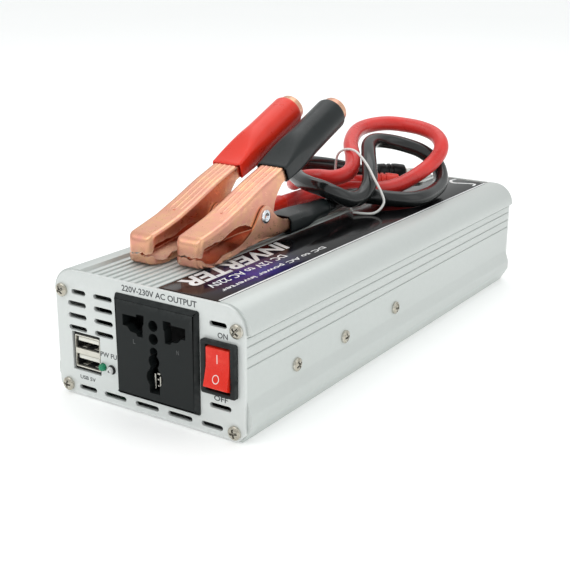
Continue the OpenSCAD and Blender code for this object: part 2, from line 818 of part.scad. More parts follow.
module upper_grip(at) {
    on_deck() translate(at) difference() {
        handle_tube(grip_r, grip_from, grip_from + grip_l);
        handle_tube(handle_r + eps, grip_from - 1, grip_from + grip_l + 1);
    }
}

// a pressed channel with its back down and an ear outside each cheek of the upper jaw
module lower_jaw(at) {
    inner = [for (i = [0:len(base_under) - 3]) base_under[i] + [0, 1]];
    color("peru") on_deck() translate(at) difference() {
        intersection() {
            along_x(-ear_out, ear_out) polygon(concat(base_under, base_edge));
            jaw_plan(ear_out, 6.2, 5.6);
        }
        intersection() {
            along_x(-ear_out, ear_out) polygon(concat([[111, 3.1]], inner, [[28, 2], [28, 30],
                [111, 30]]));
            jaw_plan(ear_out, 6.2, 5.6, ear_t);
        }
        rod_x(pivot[0], pivot[1], rivet_r + eps, -20, 20);
    }
}

// the flat sleeve over the tail, which ends round where the lead goes in
module lower_grip(at) {
    on_deck() translate(at + [0, 0, cuff_z]) {
        along_y(cuff_y0, cuff_y1 - 14) difference() {
            round_rect(13.6, 8, 3.9);
            square([11.4, 5.4], center = true);
        }
        rod_y(0, 0, lead_r + 0.6, cuff_y1 - 14, cuff_y1);
    }
}

// a coil of round wire about the rivet, whose two legs press the jaws' tails apart
module jaw_spring(at) {
    coil_r = 3.4;
    turns = 4;
    coil = [for (a = [0:30:turns * 360 + 180])
        [-3.2 + 1.35 * a / 360, pivot[0] + coil_r * sin(a), pivot[1] + coil_r * cos(a)]];
    legs = [[[-3.2, 80, 20.5], [-3.2, 75, 18.3]], [[2.9, 75, 7.6], [2.9, 82, 5]]];
    on_deck() translate(at) swept_tube(concat(legs[0], coil, legs[1]), 0.5);
}

module clamp_rivets() {
    head_r = 3;
    color("silver") on_deck() for (at = [red_at, black_at]) translate(at) {
        rod_x(pivot[0], pivot[1], rivet_r, -ear_out - 0.9, ear_out + 0.9);
        both_sides() difference() {
            rod_x(pivot[0], pivot[1], head_r, ear_out + eps, ear_out + 0.9);
            rod_x(pivot[0], pivot[1], 0.9, ear_out + 0.3, ear_out + 2);
        }
    }
}

module red_upper_jaw() {
    upper_jaw(red_at);
}

module red_lower_jaw() {
    lower_jaw(red_at);
}

module red_upper_grip() {
    color("red") upper_grip(red_at);
}

module red_lower_grip() {
    color("red") lower_grip(red_at);
}

module red_spring() {
    color("silver") jaw_spring(red_at);
}

module black_upper_jaw() {
    upper_jaw(black_at);
}

module black_lower_jaw() {
    lower_jaw(black_at);
}

module black_upper_grip() {
    color("black") upper_grip(black_at);
}

module black_lower_grip() {
    color("black") lower_grip(black_at);
}

module black_spring() {
    color("silver") jaw_spring(black_at);
}

/* --- leads --- */

function unit(v) = v / norm(v);
function tangent(p, i) = unit(p[min(i + 1, len(p) - 1)] - p[max(i - 1, 0)]);
function square_to(v, t) = unit(v - (v * t) * t);
// a side vector for every ring, carried along the route without twisting
function side_vectors(p, v, i = 0) = i == len(p) ? []
    : let (s = square_to(v, tangent(p, i))) concat([s], side_vectors(p, s, i + 1));

// a tube of 8 sides with one ring at each point of the route
module swept_tube(route, r) {
    sides = 8;
    sv = side_vectors(route, [0.31, 0.12, 0.94]);
    rings = [for (i = [0:len(route) - 1]) let (t = tangent(route, i), a = sv[i], b = cross(t, a))
        for (k = [0:sides - 1]) route[i] + r * (cos(k * 360 / sides) * a + sin(k * 360 / sides) * b)];
    last = (len(route) - 1) * sides;
    walls = [for (i = [0:len(route) - 2], k = [0:sides - 1]) let (n = (k + 1) % sides, q = i * sides)
        each [[q + k, q + sides + n, q + n], [q + k, q + sides + k, q + sides + n]]];
    ends = [[for (k = [0:sides - 1]) k], [for (k = [sides - 1:-1:0]) last + k]];
    polyhedron(rings, concat(ends, walls), convexity = 10);
}

module red_lead() {
    color("crimson") on_deck() swept_tube(red_route, lead_r);
}

module black_lead() {
    color("black") on_deck() swept_tube(black_route, lead_r);
}

module lead_tie() {
    color("white") on_deck() swept_tube(tie_route, tie_d / 2);
}

// the end of a lead: x runs along the lug, and z is up
module at_lead_end(route, yaw) {
    on_deck() translate(route[len(route) - 1]) rotate([0, 0, yaw]) children();
}

module ring_lug(route, yaw) {
    color("silver") at_lead_end(route, yaw) difference() {
        union() {
            rotate([0, 90, 0]) translate([0, 0, 2]) cylinder(r = 2.9, h = 14);
            translate([12, -3.4, -lug_t / 2]) cube([8, 6.8, lug_t]);
            translate([lug_reach, 0, -lug_t / 2]) cylinder(r = 6, h = lug_t);
        }
        translate([lug_reach, 0, -5]) cylinder(r = lug_hole_r, h = 10);
    }
}

module lead_boot(route, yaw) {
    at_lead_end(route, yaw) rotate([0, 90, 0]) difference() {
        translate([0, 0, 0.3]) cylinder(r = boot_r, h = boot_l);
        translate([0, 0, 1.5]) cylinder(r = 2.9 + eps, h = boot_l);
        translate([0, 0, 11.9]) cylinder(r = 3.6, h = boot_l);
    }
}

module red_lug() {
    ring_lug(red_route, red_lug_yaw);
}

module black_lug() {
    ring_lug(black_route, black_lug_yaw);
}

module red_boot() {
    color("red") lead_boot(red_route, red_lug_yaw);
}

module black_boot() {
    color("black") lead_boot(black_route, black_lug_yaw);
}

housing();
base_plate();
front_plate();
rear_plate();
front_screws();
rear_screws();
side_screws();
top_label();
outlet_face();
outlet_contacts();
outlet_base();
switch_frame();
switch_rocker();
switch_terminals();
usb_shell();
usb_tongues();
usb_board();
power_led();
fault_led();
main_board();
board_posts();
transformer_cores();
transformer_windings();
input_capacitors();
bus_capacitor();
filter_choke();
mosfets();
clamp_bars();
insulating_pads();
control_board();
fuses();
buzzer();
output_wires();
supply_wires();
fan_frame();
fan_rotor();
fan_guard();
fan_screws();
terminal_studs();
terminal_insulators();
positive_knob();
negative_knob();
red_upper_jaw();
red_lower_jaw();
red_upper_grip();
red_lower_grip();
red_spring();
black_upper_jaw();
black_lower_jaw();
black_upper_grip();
black_lower_grip();
black_spring();
clamp_rivets();
red_lead();
black_lead();
red_lug();
black_lug();
red_boot();
black_boot();
lead_tie();
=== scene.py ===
# Looks of the power inverter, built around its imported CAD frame.
# Shapes are written in millimetres from the front plate's outer face: x to the right,
# y towards the rear, z up from the table. to_m() turns them into the frame's metres.
import json
import math

import bmesh
import bpy
from mathutils import Matrix, Vector
from mathutils.geometry import tessellate_polygon


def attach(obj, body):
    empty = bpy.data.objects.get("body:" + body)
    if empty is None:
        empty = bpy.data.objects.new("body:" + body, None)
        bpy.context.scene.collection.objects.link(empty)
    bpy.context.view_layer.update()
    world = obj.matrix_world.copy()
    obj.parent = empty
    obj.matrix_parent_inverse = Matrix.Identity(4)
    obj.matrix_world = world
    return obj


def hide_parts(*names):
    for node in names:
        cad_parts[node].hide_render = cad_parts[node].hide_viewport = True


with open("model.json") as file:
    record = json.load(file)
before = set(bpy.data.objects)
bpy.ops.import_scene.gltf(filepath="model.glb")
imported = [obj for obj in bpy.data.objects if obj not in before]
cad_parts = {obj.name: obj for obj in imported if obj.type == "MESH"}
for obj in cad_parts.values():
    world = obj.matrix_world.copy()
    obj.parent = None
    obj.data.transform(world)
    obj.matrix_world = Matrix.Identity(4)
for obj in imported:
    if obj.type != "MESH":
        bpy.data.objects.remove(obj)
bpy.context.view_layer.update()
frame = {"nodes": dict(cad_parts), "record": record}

MM = 0.001
CASE_Y = -130.0            # the frame's y of the front plate's outer face
CASE_L = 244.0
DECK = 52.2                # the leads are written with z above this
TAU = 2 * math.pi
TINY = 1e-6
NEARLY_STRAIGHT = math.radians(172)      # a corner this open isn't rounded


def to_m(p):
    """A point as it is written here, in the frame's metres."""
    return Vector((p[0] * MM, (p[1] + CASE_Y) * MM, p[2] * MM))


def on_deck(points):
    """Points of the leads, raised by the height of the deck they lie on."""
    return [Vector((x, y, z + DECK)) for x, y, z in points]


# --- camera ---------------------------------------------------------------

CAMERA_AT = (0.24950, -0.41754, 0.17483)           # metres
CAMERA_TURN, CAMERA_RISE, CAMERA_ROLL = 33.077, 17.849, 0.44
LENS_MM, SENSOR_MM = 67.787, 36


def make_camera():
    """The camera that sees the object from where the photo was taken."""
    az, el, roll = [math.radians(d) for d in (CAMERA_TURN, CAMERA_RISE, CAMERA_ROLL)]
    back = Vector((math.sin(az) * math.cos(el), -math.cos(az) * math.cos(el), math.sin(el)))
    right = Vector((math.cos(az), math.sin(az), 0))
    up = back.cross(right)
    x = math.cos(roll) * right + math.sin(roll) * up
    y = -math.sin(roll) * right + math.cos(roll) * up
    data = bpy.data.cameras.new("camera")
    data.lens, data.sensor_width = LENS_MM, SENSOR_MM
    data.clip_start, data.clip_end = 0.02, 60
    cam = bpy.data.objects.new("camera", data)
    turn = Matrix((x, y, back)).transposed().to_4x4()
    cam.matrix_world = Matrix.Translation(CAMERA_AT) @ turn
    bpy.context.scene.collection.objects.link(cam)
    bpy.context.scene.camera = cam


make_camera()


# --- outlines and solids --------------------------------------------------

def vectors(points):
    return [Vector(p) for p in points]


def area_of(loop):
    """The area a flat loop encloses, positive when it goes round counter clockwise."""
    return sum(a.x * b.y - b.x * a.y for a, b in zip(loop, loop[1:] + loop[:1])) / 2


def turned(loop, counter_clockwise=True):
    """The same flat loop, going round the way that is asked for."""
    loop = [Vector((p[0], p[1])) for p in loop]
    return loop if (area_of(loop) > 0) == counter_clockwise else loop[::-1]


def fillet(points, radius, steps=4):
    """Rounds the corners of a closed outline. radius is one number, or one for each corner."""
    pts = [Vector((p[0], p[1])) for p in points]
    radii = radius if isinstance(radius, (list, tuple)) else [radius] * len(pts)
    out = []
    for i, p in enumerate(pts):
        a, b = pts[i - 1] - p, pts[(i + 1) % len(pts)] - p
        la, lb = a.length, b.length
        angle = a.angle(b, math.pi)
        if radii[i] <= 0 or angle > NEARLY_STRAIGHT or min(la, lb) < TINY:
            out.append(p)
            continue
        cut = min(radii[i] / math.tan(angle / 2), 0.47 * la, 0.47 * lb)
        p0, p1 = p + a / la * cut, p + b / lb * cut
        for k in range(steps + 1):
            t = k / steps
            out.append(p0 * (1 - t) ** 2 + p * 2 * t * (1 - t) + p1 * t ** 2)
    return out


def offset(loop, d):
    """Moves an outline to the left of its own direction by d."""
    out = []
    for i, p in enumerate(loop):
        e1 = (p - loop[i - 1]).normalized()
        e2 = (loop[(i + 1) % len(loop)] - p).normalized()
        n = Vector((-e1.y - e2.y, e1.x + e2.x))
        out.append(p + n / max(0.4, 1 + e1.dot(e2)) * d)
    return out


def rim_profile(w0, w1, rim0, rim1, steps):
    """(inset, depth) of each ring of a slab whose two edges are rounded."""
    rings = []
    quarter = [k / steps * math.pi / 2 for k in range(steps + 1)]
    if rim0:
        rings += [(rim0 * (1 - math.sin(t)), w0 + rim0 * (1 - math.cos(t))) for t in quarter]
    else:
        rings.append((0, w0))
    if rim1:
        rings += [(rim1 * (1 - math.cos(t)), w1 - rim1 * (1 - math.sin(t))) for t in quarter]
    else:
        rings.append((0, w1))
    return rings


def upright(u, v, w):
    """An outline in x and z, with its depth along y."""
    return u, w, v


def across(u, v, w):
    """An outline in y and z, with its depth along x."""
    return w, u, v


def lying(u, v, w):
    """An outline in x and y, with its depth along z."""
    return u, v, w


def slab(outer, holes, w0, w1, rim0=0.0, rim1=0.0, place=upright, steps=3):
    """A plate with holes between w0 and w1 whose edges are rounded by rim0 and rim1."""
    loops = [turned(outer)] + [turned(h, False) for h in holes]
    rings = rim_profile(w0, w1, rim0, rim1, steps)
    verts, faces = [], []
    first, last = [], []
    for loop in loops:
        n, base = len(loop), len(verts)
        for k, (d, w) in enumerate(rings):
            moved = offset(loop, d) if d else loop
            verts += [place(p.x, p.y, w) for p in moved]
            if k == 0:
                first.append((moved, base))
            if k == len(rings) - 1:
                last.append((moved, base + k * n))
        for k in range(len(rings) - 1):
            for i in range(n):
                a, b = base + k * n + i, base + k * n + (i + 1) % n
                faces.append((a, b, b + n, a + n))
    for group in (first, last):
        index = [start + i for moved, start in group for i in range(len(moved))]
        for tri in tessellate_polygon([[p.to_3d() for p in moved] for moved, _ in group]):
            faces.append(tuple(index[i] for i in tri))
    return verts, faces


def loft(rings, caps=(True, True), closed=False):
    """Joins rings of equally many points."""
    n = len(rings[0])
    verts = [tuple(p) for ring in rings for p in ring]
    faces = []
    for k in range(len(rings) - (0 if closed else 1)):
        a0, b0 = k * n, ((k + 1) % len(rings)) * n
        for i in range(n):
            j = (i + 1) % n
            faces.append((a0 + i, a0 + j, b0 + j, b0 + i))
    for on, k in zip(caps, (0, len(rings) - 1)):
        if on and not closed:
            start = len(verts)
            ring = verts[k * n:(k + 1) * n]
            verts.append(tuple(sum(p[i] for p in ring) / n for i in range(3)))
            faces += [(k * n + i, k * n + (i + 1) % n, start) for i in range(n)]
    return verts, faces


def frame_of(axis, hint=(0, 0, 1)):
    """Two unit vectors square to axis and to each other."""
    axis = Vector(axis).normalized()
    hint = Vector(hint)
    if abs(axis.dot(hint.normalized())) > 0.98:
        hint = Vector((1, 0, 0))
    side = axis.cross(hint).normalized()
    return side, side.cross(axis).normalized()


def lathe(profile, at, axis, sides=48, hint=(0, 0, 1)):
    """Turns (radius, height) points round an axis. A radius of 0 closes an end."""
    at, axis = Vector(at), Vector(axis).normalized()
    u, v = frame_of(axis, hint)
    verts, faces, rows = [], [], []
    for r, h in profile:
        if r < TINY:
            rows.append([len(verts)])
            verts.append(tuple(at + axis * h))
            continue
        rows.append(list(range(len(verts), len(verts) + sides)))
        for i in range(sides):
            a = TAU * i / sides
            verts.append(tuple(at + axis * h + (u * math.cos(a) + v * math.sin(a)) * r))
    for lo, hi in zip(rows, rows[1:]):
        for i in range(sides):
            j = (i + 1) % sides
            quad = [lo[i % len(lo)], lo[j % len(lo)], hi[j % len(hi)], hi[i % len(hi)]]
            face = list(dict.fromkeys(quad))
            if len(face) > 2:
                faces.append(tuple(face))
    return verts, faces


def smooth_path(points, step=1.5):
    """Catmull-Rom through the points, at about equal steps."""
    p = vectors(points)
    out = []
    for i in range(len(p) - 1):
        a, b, c, d = p[max(i - 1, 0)], p[i], p[i + 1], p[min(i + 2, len(p) - 1)]
        n = max(1, round((c - b).length / step))
        for k in range(n):
            t = k / n
            out.append(0.5 * (2 * b + (c - a) * t + (2 * a - 5 * b + 4 * c - d) * t * t
                              + (3 * b - a - 3 * c + d) * t ** 3))
    return out + [p[-1]]


def tube(path, radius, sides=20, ends=0.4):
    """A round tube along the points, whose two ends are rounded by ends."""
    path = vectors(path)
    tangents = [(path[min(i + 1, len(path) - 1)] - path[max(i - 1, 0)]).normalized()
                for i in range(len(path))]
    side = frame_of(tangents[0])[0]
    rings = []
    for p, t in zip(path, tangents):
        side = (side - t * side.dot(t)).normalized()
        rings.append((p, side.copy(), t.cross(side), t))
    out = []

    def ring(item, scale, shift=0.0):
        p, u, v, t = item
        return [p + t * shift + (u * math.cos(TAU * i / sides) + v * math.sin(TAU * i / sides))
                * radius * scale for i in range(sides)]

    out.append(ring(rings[0], 1 - ends / radius))
    out.append(ring(rings[0], 1 - 0.3 * ends / radius, 0.3 * ends))
    out += [ring(r, 1.0) for r in rings[1:-1]]
    out.append(ring(rings[-1], 1 - 0.3 * ends / radius, -0.3 * ends))
    out.append(ring(rings[-1], 1 - ends / radius))
    return loft(out)


def moved(shape, matrix):
    verts, faces = shape
    return [tuple(matrix @ Vector(v)) for v in verts], faces


def piece(name, shapes, body, slot, stands_for=(), angle=32, look=None):
    """One mesh object from the shapes, riding on a body. Its look is its slot's, unless another
    is named. angle is where an edge turns sharp."""
    bm = bmesh.new()
    for verts, faces in shapes:
        made = [bm.verts.new(to_m(v)) for v in verts]
        for f in faces:
            try:
                bm.faces.new([made[i] for i in f])
            except ValueError:
                pass
    bmesh.ops.remove_doubles(bm, verts=bm.verts, dist=2 * TINY)
    bmesh.ops.dissolve_degenerate(bm, edges=bm.edges, dist=TINY)
    bmesh.ops.delete(bm, geom=[v for v in bm.verts if not v.link_faces], context="VERTS")
    bmesh.ops.recalc_face_normals(bm, faces=bm.faces)
    for f in bm.faces:
        f.smooth = True
    for e in bm.edges:
        if len(e.link_faces) == 2 and e.calc_face_angle(0) > math.radians(angle):
            e.smooth = False
    mesh = bpy.data.meshes.new(name)
    bm.to_mesh(mesh)
    bm.free()
    mesh.materials.append(LOOKS[look or slot])
    obj = bpy.data.objects.new(name, mesh)
    bpy.context.scene.collection.objects.link(obj)
    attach(obj, body)
    if stands_for:
        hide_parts(*stands_for)
    return obj


# --- materials ------------------------------------------------------------

LOOKS = {}


class Nodes:
    """A short way to wire one material, which LOOKS then lists by name."""

    def __init__(self, name):
        LOOKS[name] = bpy.data.materials.new(name)
        LOOKS[name].use_nodes = True
        self.tree = LOOKS[name].node_tree
        self.shader = self.tree.nodes["Principled BSDF"]
        self.coords = self.tree.nodes.new("ShaderNodeTexCoord").outputs["Object"]

    def new(self, kind, **values):
        node = self.tree.nodes.new("ShaderNode" + kind)
        for key, value in values.items():
            setattr(node, key, value)
        return node

    def link(self, a, b):
        self.tree.links.new(a, b)
        return b

    def stretched(self, scale):
        node = self.new("Mapping")
        self.link(self.coords, node.inputs["Vector"])
        node.inputs["Scale"].default_value = scale
        return node.outputs["Vector"]

    def noise(self, size_mm, stretch=(1, 1, 1), detail=3.0):
        node = self.new("TexNoise")
        self.link(self.stretched([s / (size_mm * MM) for s in stretch]), node.inputs["Vector"])
        node.inputs["Scale"].default_value = 1.0
        node.inputs["Detail"].default_value = detail
        node.inputs["Roughness"].default_value = 0.55
        return node.outputs["Fac"]

    def span(self, value, low, high, from_low=0.3, from_high=0.7):
        node = self.new("MapRange")
        self.link(value, node.inputs["Value"])
        for key, v in (("From Min", from_low), ("From Max", from_high),
                       ("To Min", low), ("To Max", high)):
            node.inputs[key].default_value = v
        return node.outputs["Result"]

    def math(self, kind, a, b=None):
        node = self.new("Math", operation=kind)
        for i, v in enumerate((a, b)):
            if v is None:
                continue
            if isinstance(v, (int, float)):
                node.inputs[i].default_value = v
            else:
                self.link(v, node.inputs[i])
        return node.outputs[0]

    def mix(self, factor, a, b):
        node = self.new("Mix", data_type="RGBA")
        for key, v in (("Factor", factor), ("A", a), ("B", b)):
            socket = [s for s in node.inputs if s.name == key and s.enabled][0]
            if isinstance(v, (int, float)):
                socket.default_value = v
            elif isinstance(v, (tuple, list)):
                socket.default_value = tuple(v) + (1.0,)
            else:
                self.link(v, socket)
        return [s for s in node.outputs if s.enabled][0]

    def bump(self, height, distance_mm, strength=1.0):
        node = self.new("Bump")
        node.inputs["Strength"].default_value = strength
        node.inputs["Distance"].default_value = distance_mm * MM
        self.link(height, node.inputs["Height"])
        old = self.shader.inputs["Normal"].links
        if old:
            self.link(old[0].from_socket, node.inputs["Normal"])
        self.link(node.outputs["Normal"], self.shader.inputs["Normal"])

    def enclosed(self, reach_mm):
        """1 deep inside the part, 0 on its open faces: the mask where shade is painted."""
        node = self.new("AmbientOcclusion", samples=8, only_local=True)
        node.inputs["Distance"].default_value = reach_mm * MM
        return self.span(node.outputs["AO"], 1.0, 0.0, 0.42, 0.9)

    def edges(self, low=0.515, high=0.57):
        """1 on convex edges, 0 elsewhere."""
        node = self.new("NewGeometry")
        return self.span(node.outputs["Pointiness"], 0.0, 1.0, low, high)

    def set(self, **values):
        for key, value in values.items():
            self.shader.inputs[key.replace("_", " ")].default_value = value


def plain(name, colour, rough, metallic=0.0, vary=0.12, patch_mm=18, grain_mm=0.5,
          grain_depth=0.01, stretch=(1, 1, 1), wear=None, wear_amount=0.5, second=None,
          rough_vary=0.06, painted_shade=0.0, **sockets):
    """A material with patchy colour, patchy roughness, fine grain, worn edges and painted shade in
    its recesses. sockets are set on the shader as they are."""
    n = Nodes(name)
    patches = n.noise(patch_mm)
    dark = [c * (1 - vary) for c in colour]
    light = second or [min(1, c * (1 + vary)) for c in colour]
    tint = n.mix(n.span(patches, 0, 1), dark, light)
    if wear:
        worn = n.math("MULTIPLY", n.edges(), n.span(n.noise(2.5), 0, wear_amount, 0.35, 0.6))
        tint = n.mix(worn, tint, wear)
    # painted shade: the colour is darkened nearly to black in recesses, by the amount given
    if painted_shade:
        tint = n.mix(n.math("MULTIPLY", n.enclosed(1.6), painted_shade), tint, [c * 0.03 for c in colour])
    n.link(tint, n.shader.inputs["Base Color"])
    fine = n.noise(grain_mm, stretch, detail=4)
    smear = n.math("ADD", n.span(patches, -rough_vary, rough_vary),
                   n.span(fine, rough - rough_vary / 2, rough + rough_vary / 2))
    n.link(smear, n.shader.inputs["Roughness"])
    n.bump(fine, grain_depth)
    n.set(Metallic=metallic, **sockets)


BRUSHED_Y = (1, 0.012, 1)


def make_panel_looks():
    plain("case_aluminium", (0.575, 0.605, 0.587), 0.46, 0.34, vary=0.010, patch_mm=60,
          grain_mm=0.4, grain_depth=0.0004, wear=(0.80, 0.81, 0.81), wear_amount=0.08,
          rough_vary=0.010)
    plain("base_aluminium", (0.6, 0.61, 0.62), 0.42, 0.9, vary=0.05, patch_mm=30, grain_mm=0.2,
          grain_depth=0.004, stretch=BRUSHED_Y)
    plain("front_aluminium", (0.66, 0.685, 0.67), 0.48, 0.32, vary=0.015, patch_mm=40,
          grain_mm=0.14, grain_depth=0.004, rough_vary=0.03, wear=(0.86, 0.87, 0.87))
    # painted shade darkens the cross recesses of the heads
    plain("screw_steel", (0.46, 0.43, 0.36), 0.24, 1.0, vary=0.12, patch_mm=1.0, grain_mm=0.3,
          grain_depth=0.006, painted_shade=1.0, wear=(0.95, 0.94, 0.9))
    plain("black_plastic", (0.010, 0.0125, 0.0125), 0.5, vary=0.12, patch_mm=14, grain_mm=0.22,
          grain_depth=0.012, wear=(0.06, 0.065, 0.065), wear_amount=0.5, Specular_IOR_Level=0.2)
    plain("contact_brass", (0.56, 0.545, 0.49), 0.34, 1.0, vary=0.15, patch_mm=3, grain_mm=0.2,
          grain_depth=0.006)
    plain("red_switch_plastic", (0.74, 0.020, 0.008), 0.3, vary=0.05, patch_mm=9, grain_mm=0.3,
          grain_depth=0.004, wear=(0.85, 0.1, 0.06), Specular_IOR_Level=0.3,
          Subsurface_Weight=0.06, Subsurface_Scale=0.002)
    plain("tinned_steel", (0.62, 0.60, 0.53), 0.32, 0.9, vary=0.1, patch_mm=5, grain_mm=0.2,
          grain_depth=0.004, wear=(0.92, 0.92, 0.9))
    plain("port_plastic", (0.80, 0.79, 0.72), 0.5, vary=0.04, patch_mm=5, grain_mm=0.2,
          grain_depth=0.006)
    plain("circuit_board", (0.02, 0.16, 0.06), 0.35, vary=0.3, patch_mm=4, grain_mm=0.5,
          grain_depth=0.01, second=(0.05, 0.26, 0.10))
    plain("green_lens", (0.010, 0.36, 0.17), 0.2, vary=0.2, patch_mm=2, grain_mm=0.3,
          grain_depth=0.002, Transmission_Weight=0.35, IOR=1.5)
    plain("clear_lens", (0.90, 0.91, 0.90), 0.12, vary=0.06, patch_mm=2, grain_mm=0.3,
          grain_depth=0.002, Transmission_Weight=0.3, IOR=1.5)


def make_inside_looks():
    plain("ferrite", (0.08, 0.08, 0.085), 0.6, vary=0.2, grain_depth=0.03)
    plain("winding_tape", (0.70, 0.52, 0.10), 0.4, vary=0.15)
    plain("capacitor_sleeve", (0.02, 0.04, 0.12), 0.3, vary=0.2)
    plain("enamelled_wire", (0.55, 0.22, 0.07), 0.3, 0.8, vary=0.2, patch_mm=3, grain_mm=0.6,
          grain_depth=0.1, stretch=(1, 0.2, 1))
    plain("package_black", (0.03, 0.03, 0.032), 0.55, vary=0.2)
    plain("pad_grey", (0.45, 0.52, 0.56), 0.7, vary=0.08)
    plain("fuse_orange", (0.75, 0.26, 0.03), 0.2, vary=0.1)
    plain("wire_brown", (0.2, 0.07, 0.03), 0.45, vary=0.15)
    plain("wire_red", (0.5, 0.02, 0.02), 0.45, vary=0.15)
    plain("fan_plastic", (0.028, 0.028, 0.03), 0.42, vary=0.2, grain_mm=0.3, grain_depth=0.02,
          wear=(0.09, 0.09, 0.09))
    plain("red_plastic", (0.55, 0.02, 0.02), 0.4, vary=0.08, grain_mm=0.3, grain_depth=0.01,
          wear=(0.75, 0.15, 0.13))


def make_lead_looks():
    plain("red_vinyl", (0.78, 0.030, 0.011), 0.3, vary=0.06, patch_mm=14, grain_mm=3.0,
          grain_depth=0.04, rough_vary=0.04, Specular_IOR_Level=0.42, Subsurface_Weight=0.05,
          Subsurface_Scale=0.003)
    plain("black_vinyl", (0.007, 0.0105, 0.011), 0.33, vary=0.16, patch_mm=12, grain_mm=3.0,
          grain_depth=0.04, rough_vary=0.05, Specular_IOR_Level=0.34)
    plain("spring_steel", (0.55, 0.55, 0.53), 0.3, 1.0, vary=0.1, patch_mm=2)
    plain("rivet_zinc", (0.72, 0.76, 0.80), 0.2, 1.0, vary=0.14, patch_mm=1.2, grain_mm=0.15,
          grain_depth=0.008, wear=(0.97, 0.97, 0.97))
    plain("red_jacket", (0.70, 0.028, 0.022), 0.3, vary=0.10, patch_mm=10, grain_mm=0.35,
          grain_depth=0.014, rough_vary=0.06, Sheen_Weight=0.12)
    plain("black_jacket", (0.011, 0.013, 0.013), 0.2, vary=0.16, patch_mm=10, grain_mm=0.35,
          grain_depth=0.008, rough_vary=0.05, Specular_IOR_Level=0.55)
    plain("tie_white", (0.84, 0.84, 0.81), 0.35, vary=0.04, patch_mm=6, grain_mm=0.3,
          grain_depth=0.01)


def make_print_looks():
    plain("ink", (0.045, 0.05, 0.055), 0.5, vary=0.25, patch_mm=1.2)
    plain("moulded_mark", (0.075, 0.08, 0.08), 0.4, vary=0.2, patch_mm=2)
    plain("pale_print", (0.86, 0.80, 0.76), 0.4, vary=0.1, patch_mm=1.5)
    # near black: painted shade in the socket, round the USB shell and in its ports, and the colour
    # of the fault lamp's dark ring and chip
    plain("cavity", (0.006, 0.006, 0.006), 0.7, vary=0.3, patch_mm=4)


def make_copper_look():
    """Pink and yellow patches, a brushed grain along the jaw, a painted highlight on the corners,
    and painted shade with a painted copper-on-copper reflection in deep red inside.
    """
    n = Nodes("clamp_copper")
    broad = n.noise(9, detail=2)
    small = n.noise(2.2, detail=3)
    tint = n.mix(n.span(broad, 0, 1, 0.35, 0.65), (0.76, 0.36, 0.26), (0.80, 0.44, 0.26))
    tint = n.mix(n.span(small, 0, 0.55, 0.5, 0.72), tint, (0.78, 0.34, 0.30))
    # painted highlight: paler copper along the convex corners
    tint = n.mix(n.math("MULTIPLY", n.edges(0.53, 0.6), 0.45), tint, (0.96, 0.66, 0.47))
    # painted shade and painted reflection: deep red where the channels are enclosed, standing for
    # their shade and the copper-on-copper reflection inside them
    tint = n.mix(n.enclosed(9), tint, (0.62, 0.10, 0.022))
    n.link(tint, n.shader.inputs["Base Color"])
    grain = n.noise(0.22, (1, 0.08, 1), detail=5)
    n.link(n.math("ADD", n.span(small, -0.05, 0.07), n.span(grain, 0.27, 0.37)),
           n.shader.inputs["Roughness"])
    n.bump(grain, 0.006)
    n.bump(n.noise(3.0, detail=2), 0.05, 0.6)
    n.set(Metallic=1.0)


def make_film_looks():
    """Printed film: near black, brown at its front end, a violet glow behind the words."""
    n = Nodes("label_film")
    split = n.new("SeparateXYZ")
    n.link(n.coords, split.inputs[0])
    x, y = split.outputs["X"], split.outputs["Y"]

    def bell(value, centre_mm, width_mm):
        t = n.math("DIVIDE", n.math("SUBTRACT", value, centre_mm * MM), width_mm * MM)
        return n.math("EXPONENT", n.math("MULTIPLY", n.math("MULTIPLY", t, t), -1.0))

    glow = n.math("MULTIPLY", bell(x, 22, 9), bell(y, 40 + CASE_Y, 17))
    glow = n.math("MULTIPLY", glow, n.span(n.noise(5), 0.6, 1.1))
    tint = n.mix(n.span(n.noise(14), 0, 1), (0.003, 0.003, 0.0035), (0.007, 0.0065, 0.007))
    tint = n.mix(n.math("MULTIPLY", bell(y, 3 + CASE_Y, 20), 0.6), tint, (0.028, 0.012, 0.007))
    tint = n.mix(n.math("MULTIPLY", glow, 0.85), tint, (0.07, 0.045, 0.30))
    n.link(tint, n.shader.inputs["Base Color"])
    n.link(n.span(n.noise(7), 0.10, 0.16), n.shader.inputs["Roughness"])
    n.bump(n.noise(22, detail=1), 0.05, 0.5)
    n.set(Specular_IOR_Level=0.09)
    plain("label_silver", (0.80, 0.81, 0.81), 0.35, 0.1, vary=0.12, patch_mm=5)
    plain("label_white", (0.88, 0.89, 0.89), 0.35, vary=0.06, patch_mm=3)


make_panel_looks()
make_inside_looks()
make_lead_looks()
make_print_looks()
make_copper_look()
make_film_looks()


# --- cords ----------------------------------------------------------------

BLACK_ROUTE = [(-0.5, 128, 4.6), (-0.6, 133, 4.6), (-1.7, 144.5, 4.7), (0.7, 152.4, 5.3),
    (7.6, 157.8, 5.2), (18.3, 162.2, 4.5), (24.8, 168.2, 4), (27.1, 176.7, 4),
    (26.4, 189.3, 4.3), (24.5, 200.5, 5.6), (20.8, 208.4, 9.3), (15.9, 212, 14),
    (7.9, 211.7, 18.9), (-1.6, 208.2, 22), (-7.7, 202.1, 23.9), (-10.1, 193.7, 25),
    (-8.3, 184.6, 24.2), (-2.6, 174.3, 21.5), (3.9, 163.8, 17.5), (8.9, 154.8, 12.3),
    (9.8, 146.5, 8), (8.3, 138.4, 7.4), (4.9, 132, 10.4), (-1.2, 129.1, 13.1), (-9.3, 130.3, 14),
    (-18.5, 136.4, 14.1), (-28.3, 145, 15.1), (-34.9, 153.7, 15.6), (-37.6, 163.4, 15.1),
    (-36, 173, 13.9), (-31.1, 184.3, 11.5), (-25.1, 193.6, 8.7), (-17.2, 200.8, 6), (-14, 204, 6)]
